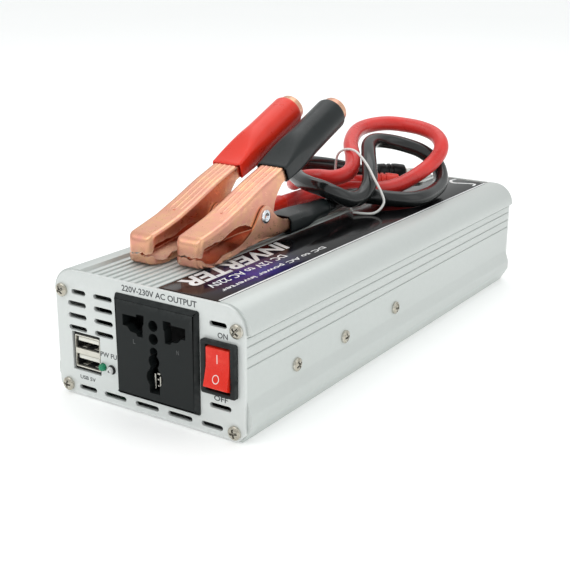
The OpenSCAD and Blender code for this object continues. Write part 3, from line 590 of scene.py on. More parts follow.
RED_ROUTE = [(-20, 122, 4.6), (-20, 127, 4.6), (-20.3, 139, 4.3), (-19.4, 150.6, 4.3),
    (-15.3, 159.8, 5.2), (-6, 167.5, 5.2), (3.1, 174.5, 5), (9, 181.8, 6), (13.8, 191.1, 9.3),
    (17.8, 200.9, 14.1), (19.9, 207.8, 19.4), (18.3, 212.6, 23.9), (12.6, 216.7, 27.3),
    (4, 218.1, 29.5), (-6, 216.8, 30.6), (-13.3, 212.8, 31.1), (-18.3, 205.4, 30.7),
    (-20.4, 196.7, 29.6), (-19, 187.6, 27.7), (-14.6, 177.3, 24.9), (-9.1, 169.8, 21.3),
    (-5.3, 162.9, 17), (-6, 157.4, 14.2), (-10.5, 153.4, 12.8), (-18.3, 151.9, 12.6),
    (-27, 153.2, 10.8), (-33.8, 156.6, 7.2), (-38.6, 162.6, 5.1), (-39.4, 169.3, 4.7),
    (-36.1, 175.9, 4.6), (-29.8, 179.5, 4.6), (-19.8, 180.4, 4.8), (-11.6, 182.4, 5.2),
    (-8, 185, 5.2)]
TIE_ROUTE = [(8, 141, 0.7), (17, 145, 0.7), (20, 149, 5), (18, 150, 10), (14, 151, 15),
             (8, 155, 20), (1, 160, 23.5), (-6, 165, 25), (-13, 168, 24), (-18, 170, 20),
             (-20, 172, 10), (-17, 169, 2), (-14, 165, 0.7), (6, 144, 0.7)]
LEAD_R = 3.75
TIE_R = 0.6


def make_boot(name, route, yaw, node, look):
    """The soft boot over a lug's barrel: a collar, two ribs and a tapering nose. It points in
    the direction yaw, in degrees."""
    end = on_deck(route)[-1]
    axis = (math.cos(math.radians(yaw)), math.sin(math.radians(yaw)), 0)
    profile = [(0, 0.35), (3.4, 0.35), (4.3, 0.5), (4.85, 1.1), (4.9, 4.4), (4.7, 4.9), (4.2, 5.1),
               (4.2, 5.9), (4.75, 6.2), (4.75, 7.4), (4.2, 7.7), (4.2, 8.5), (4.7, 8.8),
               (4.7, 10.6), (4.4, 12.6), (4.15, 14.6), (3.9, 15.2), (3.4, 15.25), (3.25, 14.9),
               (3.1, 12.0), (0, 12.0)]
    return piece(name, [lathe(profile, end, axis, 40)], "leads", look, (node,), 50)


def make_cords():
    """The two leads with their boots, and the tie that holds them together."""
    for colour, route, yaw in (("red", RED_ROUTE, 37), ("black", BLACK_ROUTE, 45)):
        path = smooth_path(on_deck(route), 1.4)
        lead = piece(colour + "_cable", [tube(path, LEAD_R, 28)], "leads", colour + "_jacket",
                     (colour + "_lead",), 60)
        boot = make_boot(colour + "_lug_boot", route, yaw, colour + "_boot", colour + "_vinyl")
    path = smooth_path(on_deck(TIE_ROUTE), 0.8)
    tie = piece("cable_tie", [tube(path, TIE_R, 14, 0.2)], "leads", "tie_white",
                ("lead_tie",), 60)


make_cords()


# --- case -----------------------------------------------------------------

HALF_W = 47.5              # at the lip and at the foot
SIDE_X = 45.6              # the side wall between them
LIP_Z = 42.2
SHOULDER_R = 10.4
SHOULDER_X = HALF_W - SHOULDER_R
SHOULDER_Z = LIP_Z + SHOULDER_R
RECESS_X = 33.3            # how far the recess on top reaches to either side
GROOVE_Z = 51.0            # its floor
DECK_Z = 52.0              # the tops of the ribs and of the film in it
LABEL_X = (4.3, 32.2)
LABEL_T = 0.35
RIB_W, RIB_PITCH, RIB_COUNT = 2.2, 3.6, 10
PLATE_T = 1.5
SIDE_LINES = (37.6, 33.5, 29.6)          # heights of the fine grooves in the side wall
SIDE_SCREW_Y = (34, 70.5, 114.5)
SIDE_SCREW_Z = 20.5
CORNERS = [(x * s, z) for x, z in ((42.2, 43.5), (41, 4)) for s in (1, -1)]


def arc(cx, cz, r, a0, a1, steps):
    """Points round a centre from angle a0 to a1, in degrees."""
    return [(cx + r * math.cos(math.radians(a0 + (a1 - a0) * k / steps)),
             cz + r * math.sin(math.radians(a0 + (a1 - a0) * k / steps)))
            for k in range(steps + 1)]


def side_wall():
    """The right wall's outside from the foot up to the lip, with its four fine grooves.

    Here and in case_section a point is (x, z, corner radius)."""
    points = [(43.5, 0, 0.4), (SIDE_X, 3.8, 1.5), (HALF_W, 7, 1.2), (HALF_W, 11.2, 3.5),
              (SIDE_X, 16.4, 5.0)]
    for z in sorted(SIDE_LINES) + [LIP_Z - 1.15]:
        points += [(SIDE_X, z - 0.34, 0.12), (SIDE_X - 0.5, z - 0.14, 0.05),
                   (SIDE_X - 0.5, z + 0.14, 0.05), (SIDE_X, z + 0.34, 0.12)]
    points += [(SIDE_X, LIP_Z - 0.1, 0.35), (HALF_W - 0.15, LIP_Z - 0.1, 0.3)]
    return points


def case_section():
    """The whole extrusion as one closed outline, going round anticlockwise."""
    right = side_wall()
    shoulder = [(x, z, 0) for x, z in arc(SHOULDER_X, LIP_Z, SHOULDER_R, 3, 90, 22)]
    right += shoulder + [(RECESS_X + 0.5, SHOULDER_Z, 0.25), (RECESS_X + 0.02, GROOVE_Z, 0.1)]
    top = []
    bed_z = DECK_Z - LABEL_T
    top += [(LABEL_X[1] + 0.9, GROOVE_Z, 0.1), (LABEL_X[1] + 0.5, bed_z, 0.15)]
    top += [(LABEL_X[0], bed_z, 0.15), (LABEL_X[0] - 0.05, GROOVE_Z, 0.12)]
    for i in range(RIB_COUNT):
        x1 = LABEL_X[0] - 0.7 - i * RIB_PITCH
        x0 = x1 - RIB_W
        top += [(x1 + 0.02, GROOVE_Z, 0.15), (x1 - 0.1, DECK_Z, 0.5), (x0 + 0.1, DECK_Z, 0.5),
                (x0 - 0.02, GROOVE_Z, 0.15)]
    left = [(-x, z, r) for x, z, r in right[::-1]]
    inside = [(-36.1, 0, 0.1), (-36.1, 0.9, 0), (-37.8, 0.9, 0), (-37.8, 1.8, 0), (-43.8, 1.8, 0)]
    inside += [(-x, z, 0) for x, z in arc(SHOULDER_X, LIP_Z, 6.7, 0, 90, 8)]
    whole = right + top + left + inside + [(-x, z, r) for x, z, r in inside[::-1]]
    return fillet([p[:2] for p in whole], [p[2] for p in whole], 3)


def plate_outline():
    """An end plate: two round top corners and two chamfered bottom ones."""
    top, r, chamfer = 52.3, 9.5, 3.2
    right = [(SIDE_X - chamfer, 0.6), (SIDE_X, 0.6 + chamfer)]
    right += arc(SIDE_X - r, top - r, r, 0, 90, 20)
    left = [(-x, z) for x, z in right[::-1]]
    whole = right + left
    radii = [0] * len(whole)
    for i in (0, 1, len(whole) - 1, len(whole) - 2):
        radii[i] = 1.2
    return fillet(whole, radii, 4)


def circle(x, z, r, n=32):
    return [(x + r * math.cos(TAU * i / n), z + r * math.sin(TAU * i / n)) for i in range(n)]


def long_hole(x0, x1, z, h=2.0, n=10):
    """A long hole with round ends, from x0 to x1."""
    r = h / 2
    right = [(x1 - r + r * math.cos(a), z + r * math.sin(a))
             for a in [-math.pi / 2 + math.pi * k / n for k in range(n + 1)]]
    left = [(x0 + r + r * math.cos(a), z + r * math.sin(a))
            for a in [math.pi / 2 + math.pi * k / n for k in range(n + 1)]]
    return right + left


def rectangle(x, z, w, h, r=0.0, steps=4):
    """A w by h box about its middle, with corners of radius r."""
    box = [(x - w / 2, z - h / 2), (x + w / 2, z - h / 2), (x + w / 2, z + h / 2),
           (x - w / 2, z + h / 2)]
    return fillet(box, r, steps) if r else box


# The middles of what the end plates carry, as (x, z).
OUTLET = (5.6, 27.2)
SWITCH = (34.8, 27.9)
USB = (-30.6, 19.1)
POWER_LED = (-22.2, 15.3)
FAULT_LED = (-17.8, 15.1)
FAN = (18.5, 27)
FAN_DUCT_R = 18.8
FAN_HOLE = 16              # from the fan's middle to its screws, in x and in z
STUDS = (-35, -14)         # the x of each stud
STUD_Z = 27
# The vents in the front plate, as (left end, right end, height of the middle).
VENTS = [(-37.3, -30, 43.7)] + [(-39.4, -30, 43.7 - 5 * i) for i in (1, 2, 3)]
VENTS += [(-25.8, -16.4, 43.7 - 5 * i) for i in range(4)]
VENTS += [(-35.5, -26.3, 4), (-22.2, -11, 4), (-6.3, 5.2, 4), (9.8, 21.4, 4), (25.7, 35.5, 4),
          (30, 37.7, 44.3), (29.7, 39.4, 12.5)]


def pan_head(at, axis, turn, r=2.75, h=1.8):
    """A domed screw head with a cross recess, as a height over rings and spokes."""
    axis = Vector(axis).normalized()
    u, v = frame_of(axis)
    rings, spokes = 16, 48
    dome = 4.3
    cos_t, sin_t = math.cos(turn), math.sin(turn)

    def height(a, b):
        top = h - dome + math.sqrt(max(0, dome * dome - a * a - b * b))
        p, q = a * cos_t + b * sin_t, -a * sin_t + b * cos_t
        arm = min(max(abs(p) - 0.38, abs(q) - 1.65), max(abs(q) - 0.38, abs(p) - 1.65))
        depth = min(1.0, max(0.0, 0.5 - arm / 0.22))
        slope = 1 - 0.45 * min(1.0, math.hypot(a, b) / 1.6)
        return top - depth * 0.95 * slope

    verts = [tuple(Vector(at) + axis * height(0, 0))]
    faces = []
    for k in range(1, rings + 1):
        rr = (r - 0.12) * k / rings
        for i in range(spokes):
            a, b = rr * math.cos(TAU * i / spokes), rr * math.sin(TAU * i / spokes)
            verts.append(tuple(Vector(at) + u * a + v * b + axis * height(a, b)))
    edge = h - dome + math.sqrt(dome * dome - r * r)
    for rr, z in ((r, edge - 0.1), (r, 0.0), (1.4, 0.0), (1.4, -1.5)):
        for i in range(spokes):
            a, b = rr * math.cos(TAU * i / spokes), rr * math.sin(TAU * i / spokes)
            verts.append(tuple(Vector(at) + u * a + v * b + axis * z))
    faces += [(0, 1 + i, 1 + (i + 1) % spokes) for i in range(spokes)]
    for k in range(rings + 3):
        for i in range(spokes):
            a, j = 1 + k * spokes, (i + 1) % spokes
            faces.append((a + i, a + j, a + spokes + j, a + spokes + i))
    start = 1 + (rings + 3) * spokes
    faces.append(tuple(start + i for i in range(spokes)))
    return verts, faces


def screw_set(name, places, axis, node, seed):
    """Screw heads that face along axis, or outwards when axis is None, each turned by chance."""
    shapes = [pan_head(p, axis if axis else (1 if p[0] > 0 else -1, 0, 0), 0.5 + seed + 1.9 * i)
              for i, p in enumerate(places)]
    return piece(name, shapes, "case", "screw_steel", (node,), 40)


def make_case():
    """The extrusion, its two end plates, the film on top and the screws."""
    section = case_section()
    shell = slab(section, [], PLATE_T, CASE_L - PLATE_T, 0.12, 0.12, steps=2)
    piece("case_extrusion", [shell], "case", "case_aluminium", ("housing",), 24)
    corner_holes = [circle(x, z, 1.6) for x, z in CORNERS]
    front_holes = corner_holes + [long_hole(*v) for v in VENTS] + [
        rectangle(*OUTLET, 36.2, 36.2), rectangle(*SWITCH, 13.4, 19.2),
        rectangle(USB[0] - 0.2, USB[1], 14.6, 16.1, 0.4), circle(*POWER_LED, 1.6),
        circle(*FAULT_LED, 1.6)]
    piece("front_panel", [slab(plate_outline(), front_holes, 0, PLATE_T, 0.22, 0.1)], "case",
          "front_aluminium", ("front_plate",), 40)
    rear_holes = corner_holes + [circle(*FAN, FAN_DUCT_R, 72)]
    rear_holes += [circle(FAN[0] + FAN_HOLE * a, FAN[1] + FAN_HOLE * b, 1.6)
                   for a in (-1, 1) for b in (-1, 1)]
    rear_holes += [circle(x, STUD_Z, 5) for x in STUDS]
    rear_holes += [long_hole(x, x + 12, z) for x in (-36, -20) for z in (7, 11)]
    piece("rear_panel", [slab(plate_outline(), rear_holes, CASE_L - PLATE_T, CASE_L, 0.1, 0.22)],
          "case", "front_aluminium", ("rear_plate",), 40)
    screw_set("front_screw_heads", [(x, 0, z) for x, z in CORNERS], (0, -1, 0),
              "front_screws", 0.2)
    screw_set("rear_screw_heads", [(x, CASE_L, z) for x, z in CORNERS], (0, 1, 0),
              "rear_screws", 0.9)
    screw_set("side_screw_heads", [(s * SIDE_X, y, SIDE_SCREW_Z) for s in (1, -1)
                                   for y in SIDE_SCREW_Y], None, "side_screws", 0.6)
    screw_set("fan_screw_heads", [(FAN[0] + FAN_HOLE * a, CASE_L + 1.4, FAN[1] + FAN_HOLE * b)
                                  for a in (-1, 1) for b in (-1, 1)], (0, 1, 0),
              "fan_screws", 0.1)
    film = rectangle((LABEL_X[0] + LABEL_X[1]) / 2, CASE_L / 2, LABEL_X[1] - LABEL_X[0],
                     CASE_L - 6, 0.8)
    flat = slab(film, [], DECK_Z - LABEL_T, DECK_Z, 0, 0.06, lying, 2)
    piece("top_film", [flat], "case", "label_film", ("top_label",), 60)
    border = rectangle(LABEL_X[1] - 0.2, CASE_L / 2, 0.9, CASE_L - 7.0, 0.1)
    edge = slab(border, [], DECK_Z - 0.02, DECK_Z + 0.03, 0, 0, lying, 2)
    piece("film_edge", [edge], "case", "label_film", look="label_white")


make_case()


# --- front ----------------------------------------------------------------

BLADE = [(-15, 8.8), (-15, 13.3), (-8.3, 13.3), (-8.3, 14.4), (-4.5, 14.4), (-4.7, 10.9),
         (-5.2, 10.4), (-5.3, 5.6), (-7.8, 5.6), (-8.6, 6.7), (-11.2, 6.9), (-12.6, 8.4),
         (-12.9, 8.8)]
EARTH = [(-2.7, -15.9), (2.3, -15.9), (2.3, -12.5), (3.3, -11.2), (3.7, -9.4), (3.2, -7.6),
         (2.0, -6.2), (1.5, -4.9), (2.2, -4.0), (2.4, -2.6), (1.9, -1.2), (1.1, -0.4), (1.6, 0.5),
         (1.6, 1.7), (0.9, 2.6), (-0.2, 2.9), (-1.3, 2.6), (-2.0, 1.7), (-2.0, 0.5),
         (-1.5, -0.4), (-2.4, -1.2), (-2.8, -2.6), (-2.6, -4.0), (-1.9, -4.9), (-2.4, -6.2),
         (-3.6, -7.6), (-4.1, -9.4), (-3.7, -11.2), (-2.7, -12.5)]


def shifted(points, dx, dz, flip=1):
    """An outline moved into its place, and mirrored when flip is -1."""
    return [(flip * x + dx, z + dz) for x, z in points]


def make_outlet():
    ox, oz = OUTLET
    apertures = [fillet(shifted(BLADE, ox, oz, s), 0.3, 2) for s in (1, -1)]
    apertures += [fillet(shifted(EARTH, ox, oz), 0.2, 2)]
    apertures += [circle(ox - 0.2, oz + z, 2.2, 28) for z in (6.1, 11.3)]
    rings = []
    for inset, y in ((0.25, 0.0), (0.0, -0.1), (0.0, -0.2), (0.12, -0.42), (1.5, -1.86),
                     (1.8, -2.0)):
        rings.append([(p.x, y, p.y) for p in
                      offset(turned(rectangle(ox, oz, 40, 41, 1.1, 4)), inset)])
    rim = loft(rings, (False, False))
    face_edge = [(p[0], p[2]) for p in rings[-1]]
    face = slab(face_edge, apertures, -2.0, 2.0, 0, 0)
    body = slab(rectangle(ox, oz, 36, 36, 0.6), [rectangle(ox, oz, 33.4, 33.4)], -0.2, 16)
    piece("outlet_front", [rim, face, body], "case", "black_plastic", ("outlet_face",), 28)
    # painted shade: a near-black block deep in the socket, behind its holes
    back = slab(rectangle(ox, oz, 33.6, 33.6), [], 8.5, 15.9)
    piece("outlet_well", [back], "case", "black_plastic", look="cavity")
    strips = []
    for x0, x1, z0, z1, y in ((-2.0, -1.2, -8.6, -14.8, 0.1), (-0.7, 0.7, -8.2, -8.9, 0.3),
                              (0.5, 1.1, -9.4, -14.4, 0.2), (-0.7, 0.2, -10.6, -11.2, 0.3),
                              (-0.7, 0.2, -13.2, -13.8, 0.3)):
        outline = rectangle(ox + (x0 + x1) / 2, oz + (z0 + z1) / 2, x1 - x0, z0 - z1, 0.25)
        strips.append(slab(outline, [], y, y + 0.5, 0.12, 0.12))
    for s in (-1, 1):
        for z in (4.4, 15):
            strips.append(slab(rectangle(ox + s * 10.2, oz + z + 0.35, 7.5, 0.7, 0.1), [], 4.5, 8.4,
                               0.1, 0))
    piece("outlet_springs", strips, "case", "contact_brass", ("outlet_contacts",))


KEY_HALF = 7.4             # half the height of the rocker's face
KEY_PRESSED = math.radians(-7.5)


def key_face(z):
    """How far the rocker's hollow face stands from its pivot."""
    return -3.05 - 0.92 * (abs(z) / KEY_HALF) ** 1.3


def make_switch():
    sx, sz = SWITCH
    window = rectangle(sx, sz, 10.9, 17.5, 0.25)
    frame_front = slab(rectangle(sx, sz, 15.6, 20.8, 1.0), [window], -2.0, 0.0, 0.55, 0)
    inner_lip = slab(rectangle(sx, sz, 13.2, 19.0), [rectangle(sx, sz, 10.9, 17.5)], 0, 14)
    back = slab(rectangle(sx, sz, 11, 17.6), [], 10.2, 13.9)
    piece("switch_bezel", [frame_front, inner_lip, back], "case", "black_plastic",
          ("switch_frame",), 34)
    # drawn in its middle position about its pivot, then pressed in at the top
    pivot = Vector((sx, 0.9, sz))
    press = Matrix.Translation(pivot) @ Matrix.Rotation(KEY_PRESSED, 4, "X")
    face = [(key_face(z), z) for z in [KEY_HALF - 2 * KEY_HALF * k / 12 for k in range(13)]]
    outline = face + [(-1, -8.35), (3.4, -6.3), (3.4, 6.3), (-1, 8.35)]
    radii = [0.5] + [0] * 11 + [0.5, 0.8, 0.5, 0.5, 0.8]
    body = slab(fillet(outline, radii, 4), [], -5.25, 5.25, 0.4, 0.4, across)
    pin = lathe([(0, -6.1), (1.1, -6.1), (1.2, -6.0), (1.2, 6.0), (1.1, 6.1), (0, 6.1)],
                (0, 0, 0), (1, 0, 0), 24)
    piece("rocker_key", [moved(body, press), moved(pin, press)], "rocker", "red_switch_plastic",
          ("switch_rocker",), 50)
    make_key_marks(press)


def make_key_marks(press):
    """A bar and a ring, which lie on the two halves of the rocker's face."""
    def on_key(a, b, z0, sign):
        lean = math.atan(0.92 * 1.3 / KEY_HALF * (abs(z0) / KEY_HALF) ** 0.3)
        up = Vector((0, -math.sin(lean) * sign, math.cos(lean)))
        return press @ (Vector((a, key_face(z0) - 0.03, z0)) + up * b)

    corners = ((-0.16, -1.7), (0.16, -1.7), (0.16, 1.7), (-0.16, 1.7))
    bar = [on_key(a, b, 3.6, 1) for a, b in corners]
    shapes = [([tuple(p) for p in bar] + [tuple(p + Vector((0, 0.06, 0))) for p in bar],
               [(0, 1, 2, 3), (4, 5, 6, 7), (0, 1, 5, 4), (1, 2, 6, 5), (2, 3, 7, 6),
                (3, 0, 4, 7)])]
    ring_rows = []
    for r, lift in ((1.2, 0.06), (1.2, 0.0), (1.48, 0.0), (1.48, 0.06)):
        row = []
        for i in range(36):
            t = TAU * i / 36
            row.append(on_key(r * math.cos(t), 1.15 * r * math.sin(t), -3.9, -1)
                       + Vector((0, lift, 0)))
        ring_rows.append(row)
    shapes.append(loft(ring_rows, (False, False), closed=True))
    piece("rocker_marks", shapes, "rocker", "red_switch_plastic", look="pale_print")


USB_SHELL = (12.9, 13.5)
PORT_DZ = 3.7              # each port's middle above or below the shell's


def make_usb():
    ux, uz = USB
    ports = [rectangle(ux, uz + s * PORT_DZ, 12.3, 5.1, 0.25) for s in (1, -1)]
    shell = slab(rectangle(ux, uz, *USB_SHELL, 0.4), ports, 0.5, 14.0, 0.1, 0)
    back = slab(rectangle(ux, uz, *USB_SHELL), [], 14.0, 15.0)
    folds = []
    for s in (1, -1):
        for edge in (1, -1):
            for dx in (-3.2, 3.2):
                z = uz + s * PORT_DZ + edge * 2.3
                folds.append(slab(rectangle(ux + dx, z, 2.4, 0.28, 0.08), [], 2.2, 6.5, 0.1, 0))
    piece("usb_cage", [shell, back] + folds, "case", "tinned_steel", ("usb_shell",), 34)
    tongues, pins, liners = [], [], []
    for s in (1, -1):
        z = uz + s * PORT_DZ
        tongues.append(slab(rectangle(ux, z + 1.15, 10.8, 1.75, 0.2), [], 1.3, 13.9, 0.25, 0))
        liners.append(slab(rectangle(ux, z, 12.2, 5.0), [rectangle(ux, z, 11.9, 4.7)], 1.5, 12.6))
        liners.append(slab(rectangle(ux, z, 12.2, 5.0), [], 12.6, 13.9))
        for k in (-1.5, -0.5, 0.5, 1.5):
            pins.append(slab(rectangle(ux + k * 2.3, z + 0.2, 1.0, 0.16, 0.04), [], 2.4, 12.0))
    piece("usb_tongue_pair", tongues, "case", "port_plastic", ("usb_tongues",), 40)
    piece("usb_pins", pins, "case", "contact_brass", look="contact_brass")
    # painted shade: a near-black frame in the gap round the shell, and linings that darken the
    # inside of the ports
    gap = slab(rectangle(ux, uz, 16.0, 17.3), [rectangle(ux, uz, *USB_SHELL)], 1.52, 2.6)
    piece("usb_gap", [gap] + liners, "case", "black_plastic", look="cavity")


def make_lamp(name, at, node, look):
    dome = [(0, -2.05)] + [(1.5 * math.sin(t), -0.6 - 1.45 * math.cos(t))
                           for t in [math.pi / 2 * k / 8 for k in range(1, 9)]]
    profile = dome + [(1.5, 3.0), (1.7, 3.05), (1.7, 4.2), (0, 4.2)]
    body = lathe(profile, (at[0], 0, at[1]), (0, 1, 0), 32)
    piece(name, [body], "case", look, (node,), 50)


def make_fault_rim():
    """The dark ring round the clear lamp, and the dark chip that shows through it."""
    ring = lathe([(1.49, -0.85), (1.56, -0.8), (1.62, -0.2), (1.85, -0.14), (1.95, -0.02),
                  (1.95, 0.02), (1.49, 0.02)], (FAULT_LED[0], 0, FAULT_LED[1]), (0, 1, 0), 32)
    x, z = FAULT_LED
    die = [(x + 0.55, -1.95, z - 0.55), (x - 0.45, -2.08, z - 0.5), (x + 0.1, -2.08, z + 0.45)]
    die += [(px, py + 0.5, pz) for px, py, pz in die]
    chip = (die, [(0, 1, 2), (3, 5, 4), (0, 3, 4, 1), (1, 4, 5, 2), (2, 5, 3, 0)])
    piece("lamp_rim", [ring, chip], "case", "black_plastic", (), 50, "cavity")


def make_front():
    make_outlet()
    make_switch()
    make_usb()
    make_lamp("power_lamp", POWER_LED, "power_led", "green_lens")
    make_lamp("fault_lamp", FAULT_LED, "fault_led", "clear_lens")
    make_fault_rim()


make_front()


# --- clamps ---------------------------------------------------------------

# The clamp is drawn once, about x 0, with z from the deck. A jaw's tables give (y, z): its back
# is the closed side of the channel, and its edge is where the sheet ends.
CLAMP_AT = {"red": (-20.0, -6.0), "black": (-0.5, 0.0)}
PIVOT = (70.0, 13.2)                     # the rivet, as (y, z)
JAW_HALF = 6.2
EAR_HALF = 7.3
HANDLE_FROM = (84.0, 27.2)               # where the upper handle starts, as (y, z)
HANDLE_TILT = math.radians(22.2)
HANDLE_L = 57.0
GRIP = (2.0, 53.0)
UPPER_BACK = [(26, 12.1), (28.4, 12.45), (36.5, 14.3), (45, 16.5), (50, 18.3), (57, 20.8),
              (71, 26.3), (88, 31.9), (106, 38.2)]
UPPER_EDGE = [(28.6, 4.9), (28.9, 7.6), (29.6, 8.4), (31.3, 8.8), (34, 8.9), (36.5, 9.6),
              (38.6, 9.3), (40.6, 9.4), (43.3, 10.2), (47, 11.5), (50, 12.3), (52.5, 12.6),
              (57, 12.2), (60.5, 10.9), (65, 7.6), (74, 7.6), (77, 11), (78.3, 17.4), (81, 21.5),
              (84, 24.6), (89, 26.4), (101, 30.2)]
LOWER_BACK = [(26, 0.6), (28.6, 0.45), (31.5, 0.02), (38, 0), (47, 0.9), (58, 2.3), (69.5, 2.9),
              (81.5, 2.6), (92, 2.1), (104, 2.1)]
LOWER_EDGE = [(28.2, 4.2), (29.2, 2.9), (31, 2.1), (33, 1.7), (35.8, 1.7), (37.8, 2.7), (39.5, 3.5),
              (44.7, 3.9), (48, 4.1), (51.3, 4.7), (54, 5.6), (56.8, 6.9), (61.4, 9.8),
              (63.6, 12.3), (65.4, 14.8), (67.4, 16.9), (70, 17.9), (72.6, 17.1), (74.8, 15.1),
              (77, 12.8), (79.6, 11.1), (85, 8.8), (92, 7.4), (104, 7.1)]
NOSE_Y = 26.5
UPPER_SHEET, LOWER_SHEET = 1.0, 0.8


def along(points, y):
    """Straight-line value at y."""
    if y <= points[0][0]:
        return points[0][1]
    for a, b in zip(points, points[1:]):
        if y <= b[0]:
            return a[1] + (b[1] - a[1]) * (y - a[0]) / max(TINY, b[0] - a[0])
    return points[-1][1]


def softened(points, y, reach):
    """The value at y, averaged over a short stretch so that corners turn round."""
    return sum(along(points, y + reach * k / 4) for k in range(-4, 5)) / 9


def smoothstep(a, b, v):
    """A soft step that rises from 0 at a to 1 at b."""
    t = min(1.0, max(0.0, (v - a) / (b - a)))
    return t * t * (3 - 2 * t)


LIP_POINTS = 25            # points across the nose's front lip
RIDGES = (-2.6, 0.0, 2.6)
TOP_STEPS = sorted({k / 9 for k in range(-9, 10)}
                   | {round((c + d) / 4.85, 4) for c in RIDGES for d in (-0.4, -0.2, 0, 0.2, 0.4)})


def skin_ring(h, top, edge, radius, s, ridges):
    """One cross-section of a pressed channel's skin, from one free edge to the other."""
    radius = max(0.12, min(radius, 0.45 * abs(top - edge), 0.8 * h))
    side = [(h, edge + (top - radius * s - edge) * k / 5) for k in range(6)]
    side += [(h - radius + radius * math.cos(a), top - s * (radius - radius * math.sin(a)))
             for a in [math.pi / 2 * k / 5 for k in range(1, 5)]]
    flat = []
    for f in TOP_STEPS[::-1]:
        x = (h - radius) * f
        lift = max([0.0] + [1 - abs(x - c) / 0.36 for c in RIDGES]) if ridges else 0.0
        flat.append((x, top + s * ridges * smoothstep(0, 0.8, lift)))
    return side + flat + [(-x, z) for x, z in side[::-1]]


def upper_half(y):
    """The upper jaw's half width at y."""
    return 6.0 + (JAW_HALF - 6.0) * smoothstep(28, 38, y)


def lower_half(y):
    """The lower jaw's half width at y: widest at the ears, narrow at the tail."""
    narrow = EAR_HALF + (5.6 - EAR_HALF) * smoothstep(79, 91, y)
    return 6.2 + (narrow - 6.2) * smoothstep(27, 37, y)


def steps_between(a, b, step):
    """Evenly spaced values from a to b, about one step apart."""
    n = max(1, round((b - a) / step))
    return [a + (b - a) * k / n for k in range(n + 1)]


def pressed_jaw(back, edge, half_at, y1, thick, ridged, at, seed, lip, corner, brow):
    """A jaw pressed from sheet: a channel whose front end is folded over into a nose.

    half_at gives the half width at y, y1 is the rear end, and lip is where the two jaws meet.
    corner rounds the nose seen from above, brow rounds it seen from the side."""
    s = 1 if back[0][1] > lip else -1
    ys = [NOSE_Y + t for t in (0, 0.05, 0.16, 0.34, 0.6, 0.95, 1.35, 1.75, 2.1, 2.5, 3.0, 3.5)]
    ys += steps_between(NOSE_Y + 4.1, y1, 0.7)

    def edge_at(u):
        gaps = sum(h * math.exp(-((u - c) / w) ** 2) for c, w, h in
                   ((-3.6 + 0.3 * seed, 0.6, 0.5), (-1.1, 0.8, 0.55),
                    (2.0 - 0.3 * seed, 1.1, 0.9), (4.4, 0.5, 0.35)))
        return lip + 0.3 * math.sin(1.1 * u + seed) + s * 0.55 * gaps

    def skin(inset):
        rings = []
        front = NOSE_Y + inset
        for y in ys:
            y = max(y, front + (y - NOSE_Y) * 0.7) if inset else y
            c, b = max(0.3, corner - inset), max(0.3, brow - inset)
            pull_x = c - math.sqrt(c * c - max(0.0, c - (y - front)) ** 2)
            pull_z = b - math.sqrt(b * b - max(0.0, b - (y - front)) ** 2)
            h = half_at(y) - inset - pull_x
            free = softened(edge, y, 0.5)
            free += (edge_at(h) - lip) * (1 - smoothstep(27.6, 29.0, y))
            ridge = 0.15 * smoothstep(49.5, 51.5, y) if ridged and not inset else 0.0
            rings.append((y, skin_ring(h, softened(back, y, 1.2) - s * (inset + pull_z), free,
                                       1.35 - inset, s, ridge)))
        h = rings[0][1][0][0]
        rim = [-h + 2 * h * k / (LIP_POINTS + 1) for k in range(1, LIP_POINTS + 1)]
        return rings, [(u, front, edge_at(u)) for u in rim]

    verts, faces, starts = [], [], []
    skins = [skin(0.0), skin(thick)]
    n, m = len(skins[0][0][0][1]), len(ys)
    for rings, lip_line in skins:
        first = len(verts)
        starts.append(first)
        for y, ring in rings:
            verts += [(x, y, z) for x, z in ring]
        verts += lip_line
        for k in range(m - 1):
            faces += [(first + k * n + i, first + k * n + i + 1, first + (k + 1) * n + i + 1,
                       first + (k + 1) * n + i) for i in range(n - 1)]
        faces.append(tuple(range(first, first + n))
                     + tuple(range(first + m * n, first + m * n + LIP_POINTS)))
    a, b = starts
    for i in (0, n - 1):
        faces += [(a + k * n + i, a + (k + 1) * n + i, b + (k + 1) * n + i, b + k * n + i)
                  for k in range(m - 1)]
    last = (m - 1) * n
    faces += [(a + last + i, a + last + i + 1, b + last + i + 1, b + last + i)
              for i in range(n - 1)]
    line = [n - 1] + [m * n + k for k in range(LIP_POINTS)] + [0]
    faces += [(a + p, a + q, b + q, b + p) for p, q in zip(line, line[1:])]
    return [(x + at[0], y + at[1], z + DECK) for x, y, z in verts], faces


def handle_matrix(at):
    """Local z runs along the handle, local y points up out of it."""
    axis = Vector((0, math.cos(HANDLE_TILT), math.sin(HANDLE_TILT)))
    up = Vector((0, -math.sin(HANDLE_TILT), math.cos(HANDLE_TILT)))
    right = Vector((1, 0, 0))
    turn = Matrix((right, up, axis)).transposed().to_4x4()
    return Matrix.Translation((at[0], HANDLE_FROM[0] + at[1], HANDLE_FROM[1] + DECK)) @ turn


def rounded_ring(wx, wy, r, z, wave=None, dy=0.0):
    """A rounded rectangle, or a circle when r equals both halves, as a ring of 36 points."""
    per = 9
    points = []
    for q in range(4):
        cx = (wx - r) * (1 if q in (0, 3) else -1)
        cy = (wy - r) * (1 if q in (0, 1) else -1)
        for k in range(per):
            a = math.pi / 2 * (q + k / (per - 1))
            p = (cx + r * math.cos(a), cy + r * math.sin(a) + dy)
            points.append((p[0], p[1], z + (wave(len(points)) if wave else 0.0)))
    return points


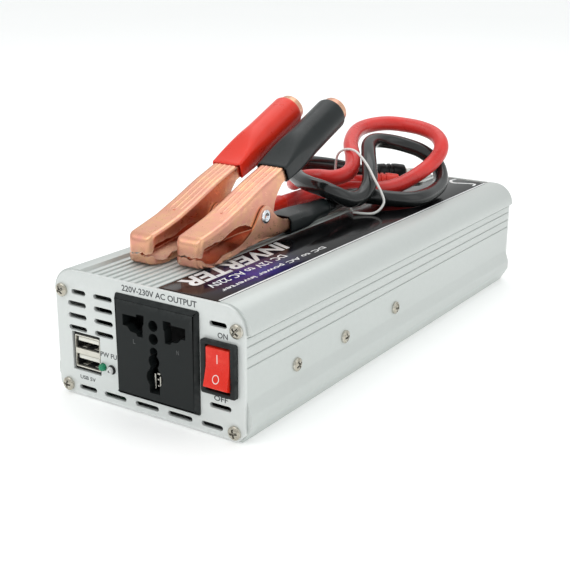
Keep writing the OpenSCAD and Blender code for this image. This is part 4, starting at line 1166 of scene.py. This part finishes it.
def upper_sleeve(at, seed):
    """Flattened over the jaw at its front end, round over the rolled handle behind."""
    def size(s):
        t = smoothstep(1, 26, s)
        tight = 1 - 0.02 * math.exp(-((s - 15) / 6) ** 2)
        wx = (7.35 + (7.6 - 7.35) * t) * tight
        wy = (3.5 + (7.6 - 3.5) * t) * tight
        return wx, wy, max(0.9, min(wx, wy) * (0.3 + 0.7 * smoothstep(3, 30, s)))

    def wave(i):
        return 0.35 * math.sin(i * TAU / 36 * 3 + seed) + 0.2 * math.sin(i * TAU / 36 * 7 + seed)

    rings = []
    start, stop = GRIP
    for inset, s in ((1.1, start + 4), (0.6, start + 0.2), (0.3, start - 0.05), (0.06, start + 0.1)):
        wx, wy, r = size(start)
        rings.append(rounded_ring(wx - inset, wy - inset, max(0.3, r - inset), s + 0.3, wave=wave,
                                  dy=0.1))
    for s in steps_between(start + 0.6, stop - 0.5, 1.2):
        wx, wy, r = size(s)
        fade = 1 - smoothstep(start, start + 5, s)
        rings.append(rounded_ring(wx, wy, r, s, wave=lambda i, f=fade: wave(i) * f,
                                  dy=0.1 * (1 - smoothstep(2, 26, s))))
    for inset, s in ((0.12, stop - 0.15), (0.4, stop), (0.9, stop - 0.05), (1.15, stop - 0.5),
                     (1.2, stop - 4)):
        rings.append(rounded_ring(7.6 - inset, 7.6 - inset, 7.6 - inset, s))
    return moved(loft(rings, (False, False)), handle_matrix(at))


def handle_tube(at):
    """The rolled end of the upper jaw, a tube that shows past its sleeve."""
    r, wall = JAW_HALF, 1.0
    hidden = 25.0
    profile = [(r, hidden), (r, HANDLE_L - 0.3), (r - 0.12, HANDLE_L - 0.05), (r - 0.35, HANDLE_L),
               (r - wall + 0.15, HANDLE_L), (r - wall, HANDLE_L - 0.2), (r - wall, hidden)]
    verts, faces = lathe(profile, (0, 0, 0), (0, 0, 1), 48, (0, 1, 0))
    ring = len(verts) - 48
    faces += [(i, (i + 1) % 48, ring + (i + 1) % 48, ring + i) for i in range(48)]
    return moved((verts, faces), handle_matrix(at))


def lower_sleeve(at, seed):
    """Flattened over the jaw's tail at its front end, round over the lead behind."""
    rings = []

    def size(y):
        t = smoothstep(104, 124, y)
        wx = 6.8 + (4.35 - 6.8) * t
        wy = 4.0 + (4.35 - 4.0) * t
        return wx, wy, min(wx, wy) * (0.55 + 0.45 * smoothstep(98, 120, y))

    def wave(i):
        return 0.3 * math.sin(i * TAU / 36 * 2 + seed)

    for inset, y in ((0.95, 94), (0.8, 90.75), (0.4, 90.5), (0.08, 90.65)):
        wx, wy, r = size(90)
        rings.append(rounded_ring(wx - inset, wy - inset, r - inset, y + 0.3, wave=wave))
    for y in steps_between(91.3, 127.4, 1.3):
        wx, wy, r = size(y)
        rings.append(rounded_ring(wx, wy, r, y))
    for inset, y in ((0.15, 127.8), (0.45, 128.0), (0.62, 127.9)):
        rings.append(rounded_ring(4.35 - inset, 4.35 - inset, 4.35 - inset, y))
    verts, faces = loft(rings, (False, True))
    return [(x + at[0], y + at[1], z + DECK + 4.6) for x, z, y in verts], faces


def rivet(at):
    """A headed tube rivet: a domed ring with a dimple, at both ends."""
    shapes = []
    middle = (at[0], PIVOT[0] + at[1], PIVOT[1] + DECK)
    for s in (1, -1):
        base = EAR_HALF
        profile = [(1.9, base - 1.4), (2.0, base + 0.02), (2.9, base + 0.03), (3.0, base + 0.2),
                   (2.9, base + 0.5), (2.45, base + 0.78), (1.9, base + 0.88),
                   (1.45, base + 0.78), (1.15, base + 0.5), (0.9, base + 0.2), (0.5, base - 0.1),
                   (0, base - 0.2)]
        shapes.append(lathe(profile, middle, (s, 0, 0), 36))
    profile = [(0, -EAR_HALF + 1.3), (1.9, -EAR_HALF + 1.3), (1.9, EAR_HALF - 1.3),
               (0, EAR_HALF - 1.3)]
    shapes.append(lathe(profile, middle, (1, 0, 0), 24))
    return shapes


def coil_spring(at):
    """Four and a half turns round the rivet, with a leg out to each jaw."""
    points = [(-3.2, 80, 20.5), (-3.2, 75, 18.3)]
    points += [(-3.2 + 1.35 * a / 360, PIVOT[0] + 3.4 * math.sin(math.radians(a)),
                PIVOT[1] + 3.4 * math.cos(math.radians(a))) for a in range(0, 1621, 15)]
    points += [(2.9, 75, 7.6), (2.9, 82, 5)]
    return tube([(x + at[0], y + at[1], z + DECK) for x, y, z in points], 0.5, 10, 0.15)


def make_clamp(colour, seed, corner):
    at = CLAMP_AT[colour]
    upper = [pressed_jaw(UPPER_BACK, UPPER_EDGE, upper_half, 100, UPPER_SHEET, True, at, seed,
                         4.95, corner, 3.3), handle_tube(at)]
    # a small pip on the back of the jaw
    upper.append(lathe([(0, 0.42), (0.3, 0.36), (0.5, 0.15), (0.55, -0.1)],
                       (at[0], 49.2 + at[1], softened(UPPER_BACK, 49.2, 1.2) + DECK),
                       (0, -0.3, 0.95), 16))
    piece(colour + "_jaw_top", upper, colour + "_jaw", "clamp_copper",
          (colour + "_upper_jaw",), 42)
    lower = [pressed_jaw(LOWER_BACK, LOWER_EDGE, lower_half, 104, LOWER_SHEET, False, at, seed,
                         4.6, corner, 2.2)]
    piece(colour + "_jaw_base", lower, "leads", "clamp_copper",
          (colour + "_lower_jaw",), 42)
    vinyl = colour + "_vinyl"
    piece(colour + "_handle_sleeve", [upper_sleeve(at, seed)], colour + "_jaw", vinyl,
          (colour + "_upper_grip",), 40)
    piece(colour + "_lead_sleeve", [lower_sleeve(at, seed)], "leads", vinyl,
          (colour + "_lower_grip",), 40)
    piece(colour + "_coil", [coil_spring(at)], "leads", "spring_steel", (colour + "_spring",), 60)


make_clamp("red", 0.7, 3.3)
make_clamp("black", 2.9, 2.4)
piece("rivet_pair", rivet(CLAMP_AT["red"]) + rivet(CLAMP_AT["black"]), "leads", "rivet_zinc",
      ("clamp_rivets",), 30)


# --- lettering ------------------------------------------------------------

def lettering(name, words, look, at, baseline, letter_up, width, height,
              lift=0.03, bold=0.0, slant=0.0):
    """Generic words as a thin raised print. at is the lower left corner of the line."""
    curve = bpy.data.curves.new(name, "FONT")
    curve.body = words
    curve.size = 1.0
    curve.shear = slant
    curve.offset = bold
    curve.resolution_u = 3
    curve.extrude = 0.01
    holder = bpy.data.objects.new(name, curve)
    bpy.context.scene.collection.objects.link(holder)
    dg = bpy.context.evaluated_depsgraph_get()
    mesh = bpy.data.meshes.new_from_object(holder.evaluated_get(dg))
    bpy.data.objects.remove(holder)
    xs = [v.co.x for v in mesh.vertices]
    ys = [v.co.y for v in mesh.vertices]
    along_v, up_v = Vector(baseline).normalized(), Vector(letter_up).normalized()
    normal = along_v.cross(up_v)
    sx, sy = width / (max(xs) - min(xs)), height / (max(ys) - min(ys))
    for v in mesh.vertices:
        p = (Vector(at) + along_v * (v.co.x - min(xs)) * sx + up_v * (v.co.y - min(ys)) * sy
             + normal * (lift if v.co.z > 0 else -0.01))
        v.co = to_m(p)
    mesh.materials.clear()
    mesh.materials.append(LOOKS[look])
    obj = bpy.data.objects.new(name, mesh)
    bpy.context.scene.collection.objects.link(obj)
    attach(obj, "case")


def make_lettering():
    """The words on the front plate, on the outlet and on the film."""
    right, up = (1, 0, 0), (0, 0, 1)
    for name, words, x0, x1, z0, z1 in (
            ("legend_output", "220V-230V AC OUTPUT", -11, 24.5, 48.8, 51.2),
            ("legend_on", "ON", 33.7, 38.2, 39.3, 41.5),
            ("legend_off", "OFF", 31.75, 38, 14.7, 16.8),
            ("legend_lamps", "PW FU", -23.25, -14.9, 19.7, 21.7),
            ("legend_charge", "USB 5V", -34.7, -26.6, 7.7, 9.3)):
        lettering(name, words, "ink", (x0, 0, z0), right, up, x1 - x0,
                  z1 - z0, bold=0.018)
    for name, words, x in (("mark_live", "L", -4.5), ("mark_neutral", "N", 16.3)):
        lettering(name, words, "moulded_mark", (x, -2.0, 29.6), right, up,
                  1.1, 1.7, lift=0.05)
    back, across_x = (0, -1, 0), (1, 0, 0)
    for name, words, y0, y1, x0, x1, look, slant in (
            ("film_title", "INVERTER", 80, 12, 5.4, 15.0, "label_silver", 0.35),
            ("film_volts", "DC 12V to AC 220V", 65, 14, 17.4, 21.4, "label_white", 0.0),
            ("film_use", "DC to AC power inverter", 85, 13, 24.4, 27.6, "label_white", 0.0)):
        lettering(name, words, look, (x0, y0, DECK_Z), back, across_x, y0 - y1,
                  x1 - x0, lift=0.02, bold=0.032 if slant else 0.012, slant=slant)


def make_film_line():
    """A pale curved line near the rear end of the film."""
    line = smooth_path([(15.4, 241, 0), (14.4, 236.5, 0), (17.4, 231.8, 0),
                        (22.4, 233.4, 0), (28.4, 235.2, 0), (29.6, 230.6, 0)], 0.8)
    last = len(line) - 1
    rings = []
    for i, p in enumerate(line):
        a, b = Vector(line[max(i - 1, 0)]), Vector(line[min(i + 1, last)])
        n = Vector((-(b - a).y, (b - a).x, 0)).normalized()
        w = 0.5 + 0.4 * math.sin(math.pi * i / last)
        c = Vector((p[0], p[1], DECK_Z))
        rings.append([c + n * w + Vector((0, 0, 0.02)), c - n * w + Vector((0, 0, 0.02)),
                      c - n * w + Vector((0, 0, -0.01)), c + n * w + Vector((0, 0, -0.01))])
    piece("film_line", [loft(rings)], "case", "label_film", look="label_white")


make_lettering()
make_film_line()


# --- parts whose CAD shape already shows the real one -----------------------

BEVELS = {
    "base_plate": 0.15, "outlet_base": 0.1, "switch_terminals": 0.1, "usb_board": 0.08,
    "main_board": 0.1, "board_posts": 0.15, "transformer_cores": 0.5,
    "transformer_windings": 0.8, "input_capacitors": 0.5, "bus_capacitor": 0.6,
    "filter_choke": 0, "mosfets": 0.15, "clamp_bars": 0.15, "insulating_pads": 0,
    "control_board": 0.1, "fuses": 0.3, "buzzer": 0.3, "output_wires": 0, "supply_wires": 0,
    "fan_frame": 0.35, "fan_rotor": 0.2, "fan_guard": 0, "terminal_studs": 0.25,
    "terminal_insulators": 0.35, "positive_knob": 0.3, "negative_knob": 0.3, "red_lug": 0.2,
    "black_lug": 0.2}


def dress_cad_parts():
    slots = {p["node"]: p["material_slot"] for p in frame["record"]["subparts"]}
    for name, width in BEVELS.items():
        obj = frame["nodes"][name]
        obj.data.materials.clear()
        obj.data.materials.append(LOOKS[slots[name]])
        if width:
            bevel = obj.modifiers.new("rounding", "BEVEL")
            bevel.width = width * MM
            bevel.segments = 2
            bevel.limit_method = "ANGLE"
            bevel.angle_limit = math.radians(40)
            bevel.harden_normals = False
            bevel.use_clamp_overlap = True


dress_cad_parts()


# --- studio, in metres ----------------------------------------------------

LIGHT_AIM = (0, 0, 0.03)
FLOOR_HALF = 8

def area_light(name, at, size, power):
    """A soft light that points at the middle of the case."""
    data = bpy.data.lights.new(name, "AREA")
    data.shape = "RECTANGLE"
    data.size, data.size_y = size
    data.energy = power
    light = bpy.data.objects.new(name, data)
    light.location = at
    light.rotation_mode = "QUATERNION"
    light.rotation_quaternion = (Vector(LIGHT_AIM) - Vector(at)).to_track_quat("-Z", "Y")
    bpy.context.scene.collection.objects.link(light)


def make_studio():
    bpy.context.scene.view_settings.view_transform = "Standard"
    world = bpy.data.worlds.new("studio")
    world.use_nodes = True
    world.node_tree.nodes["Background"].inputs["Color"].default_value = (0.95, 0.97, 0.97, 1)
    world.node_tree.nodes["Background"].inputs["Strength"].default_value = 0.82
    bpy.context.scene.world = world
    area_light("key", (-0.35, -0.75, 1.05), (0.9, 0.9), 3.0)
    area_light("side", (1.1, 0.1, 0.75), (0.9, 1.2), 1.6)
    area_light("top", (-0.2, 0.45, 1.1), (1.0, 0.8), 3.0)
    mesh = bpy.data.meshes.new("floor")
    corners = [(x * FLOOR_HALF, y * FLOOR_HALF, 0) for x, y in ((-1, -1), (1, -1), (1, 1), (-1, 1))]
    mesh.from_pydata(corners, [], [(0, 1, 2, 3)])
    floor = bpy.data.objects.new("floor", mesh)
    bpy.context.scene.collection.objects.link(floor)
    plain("floor", (0.93, 0.935, 0.93), 0.7, vary=0.01, patch_mm=400, grain_mm=4,
          grain_depth=0.01, Emission_Color=(1, 1, 1, 1), Emission_Strength=0.20)
    mesh.materials.append(LOOKS["floor"])


make_studio()
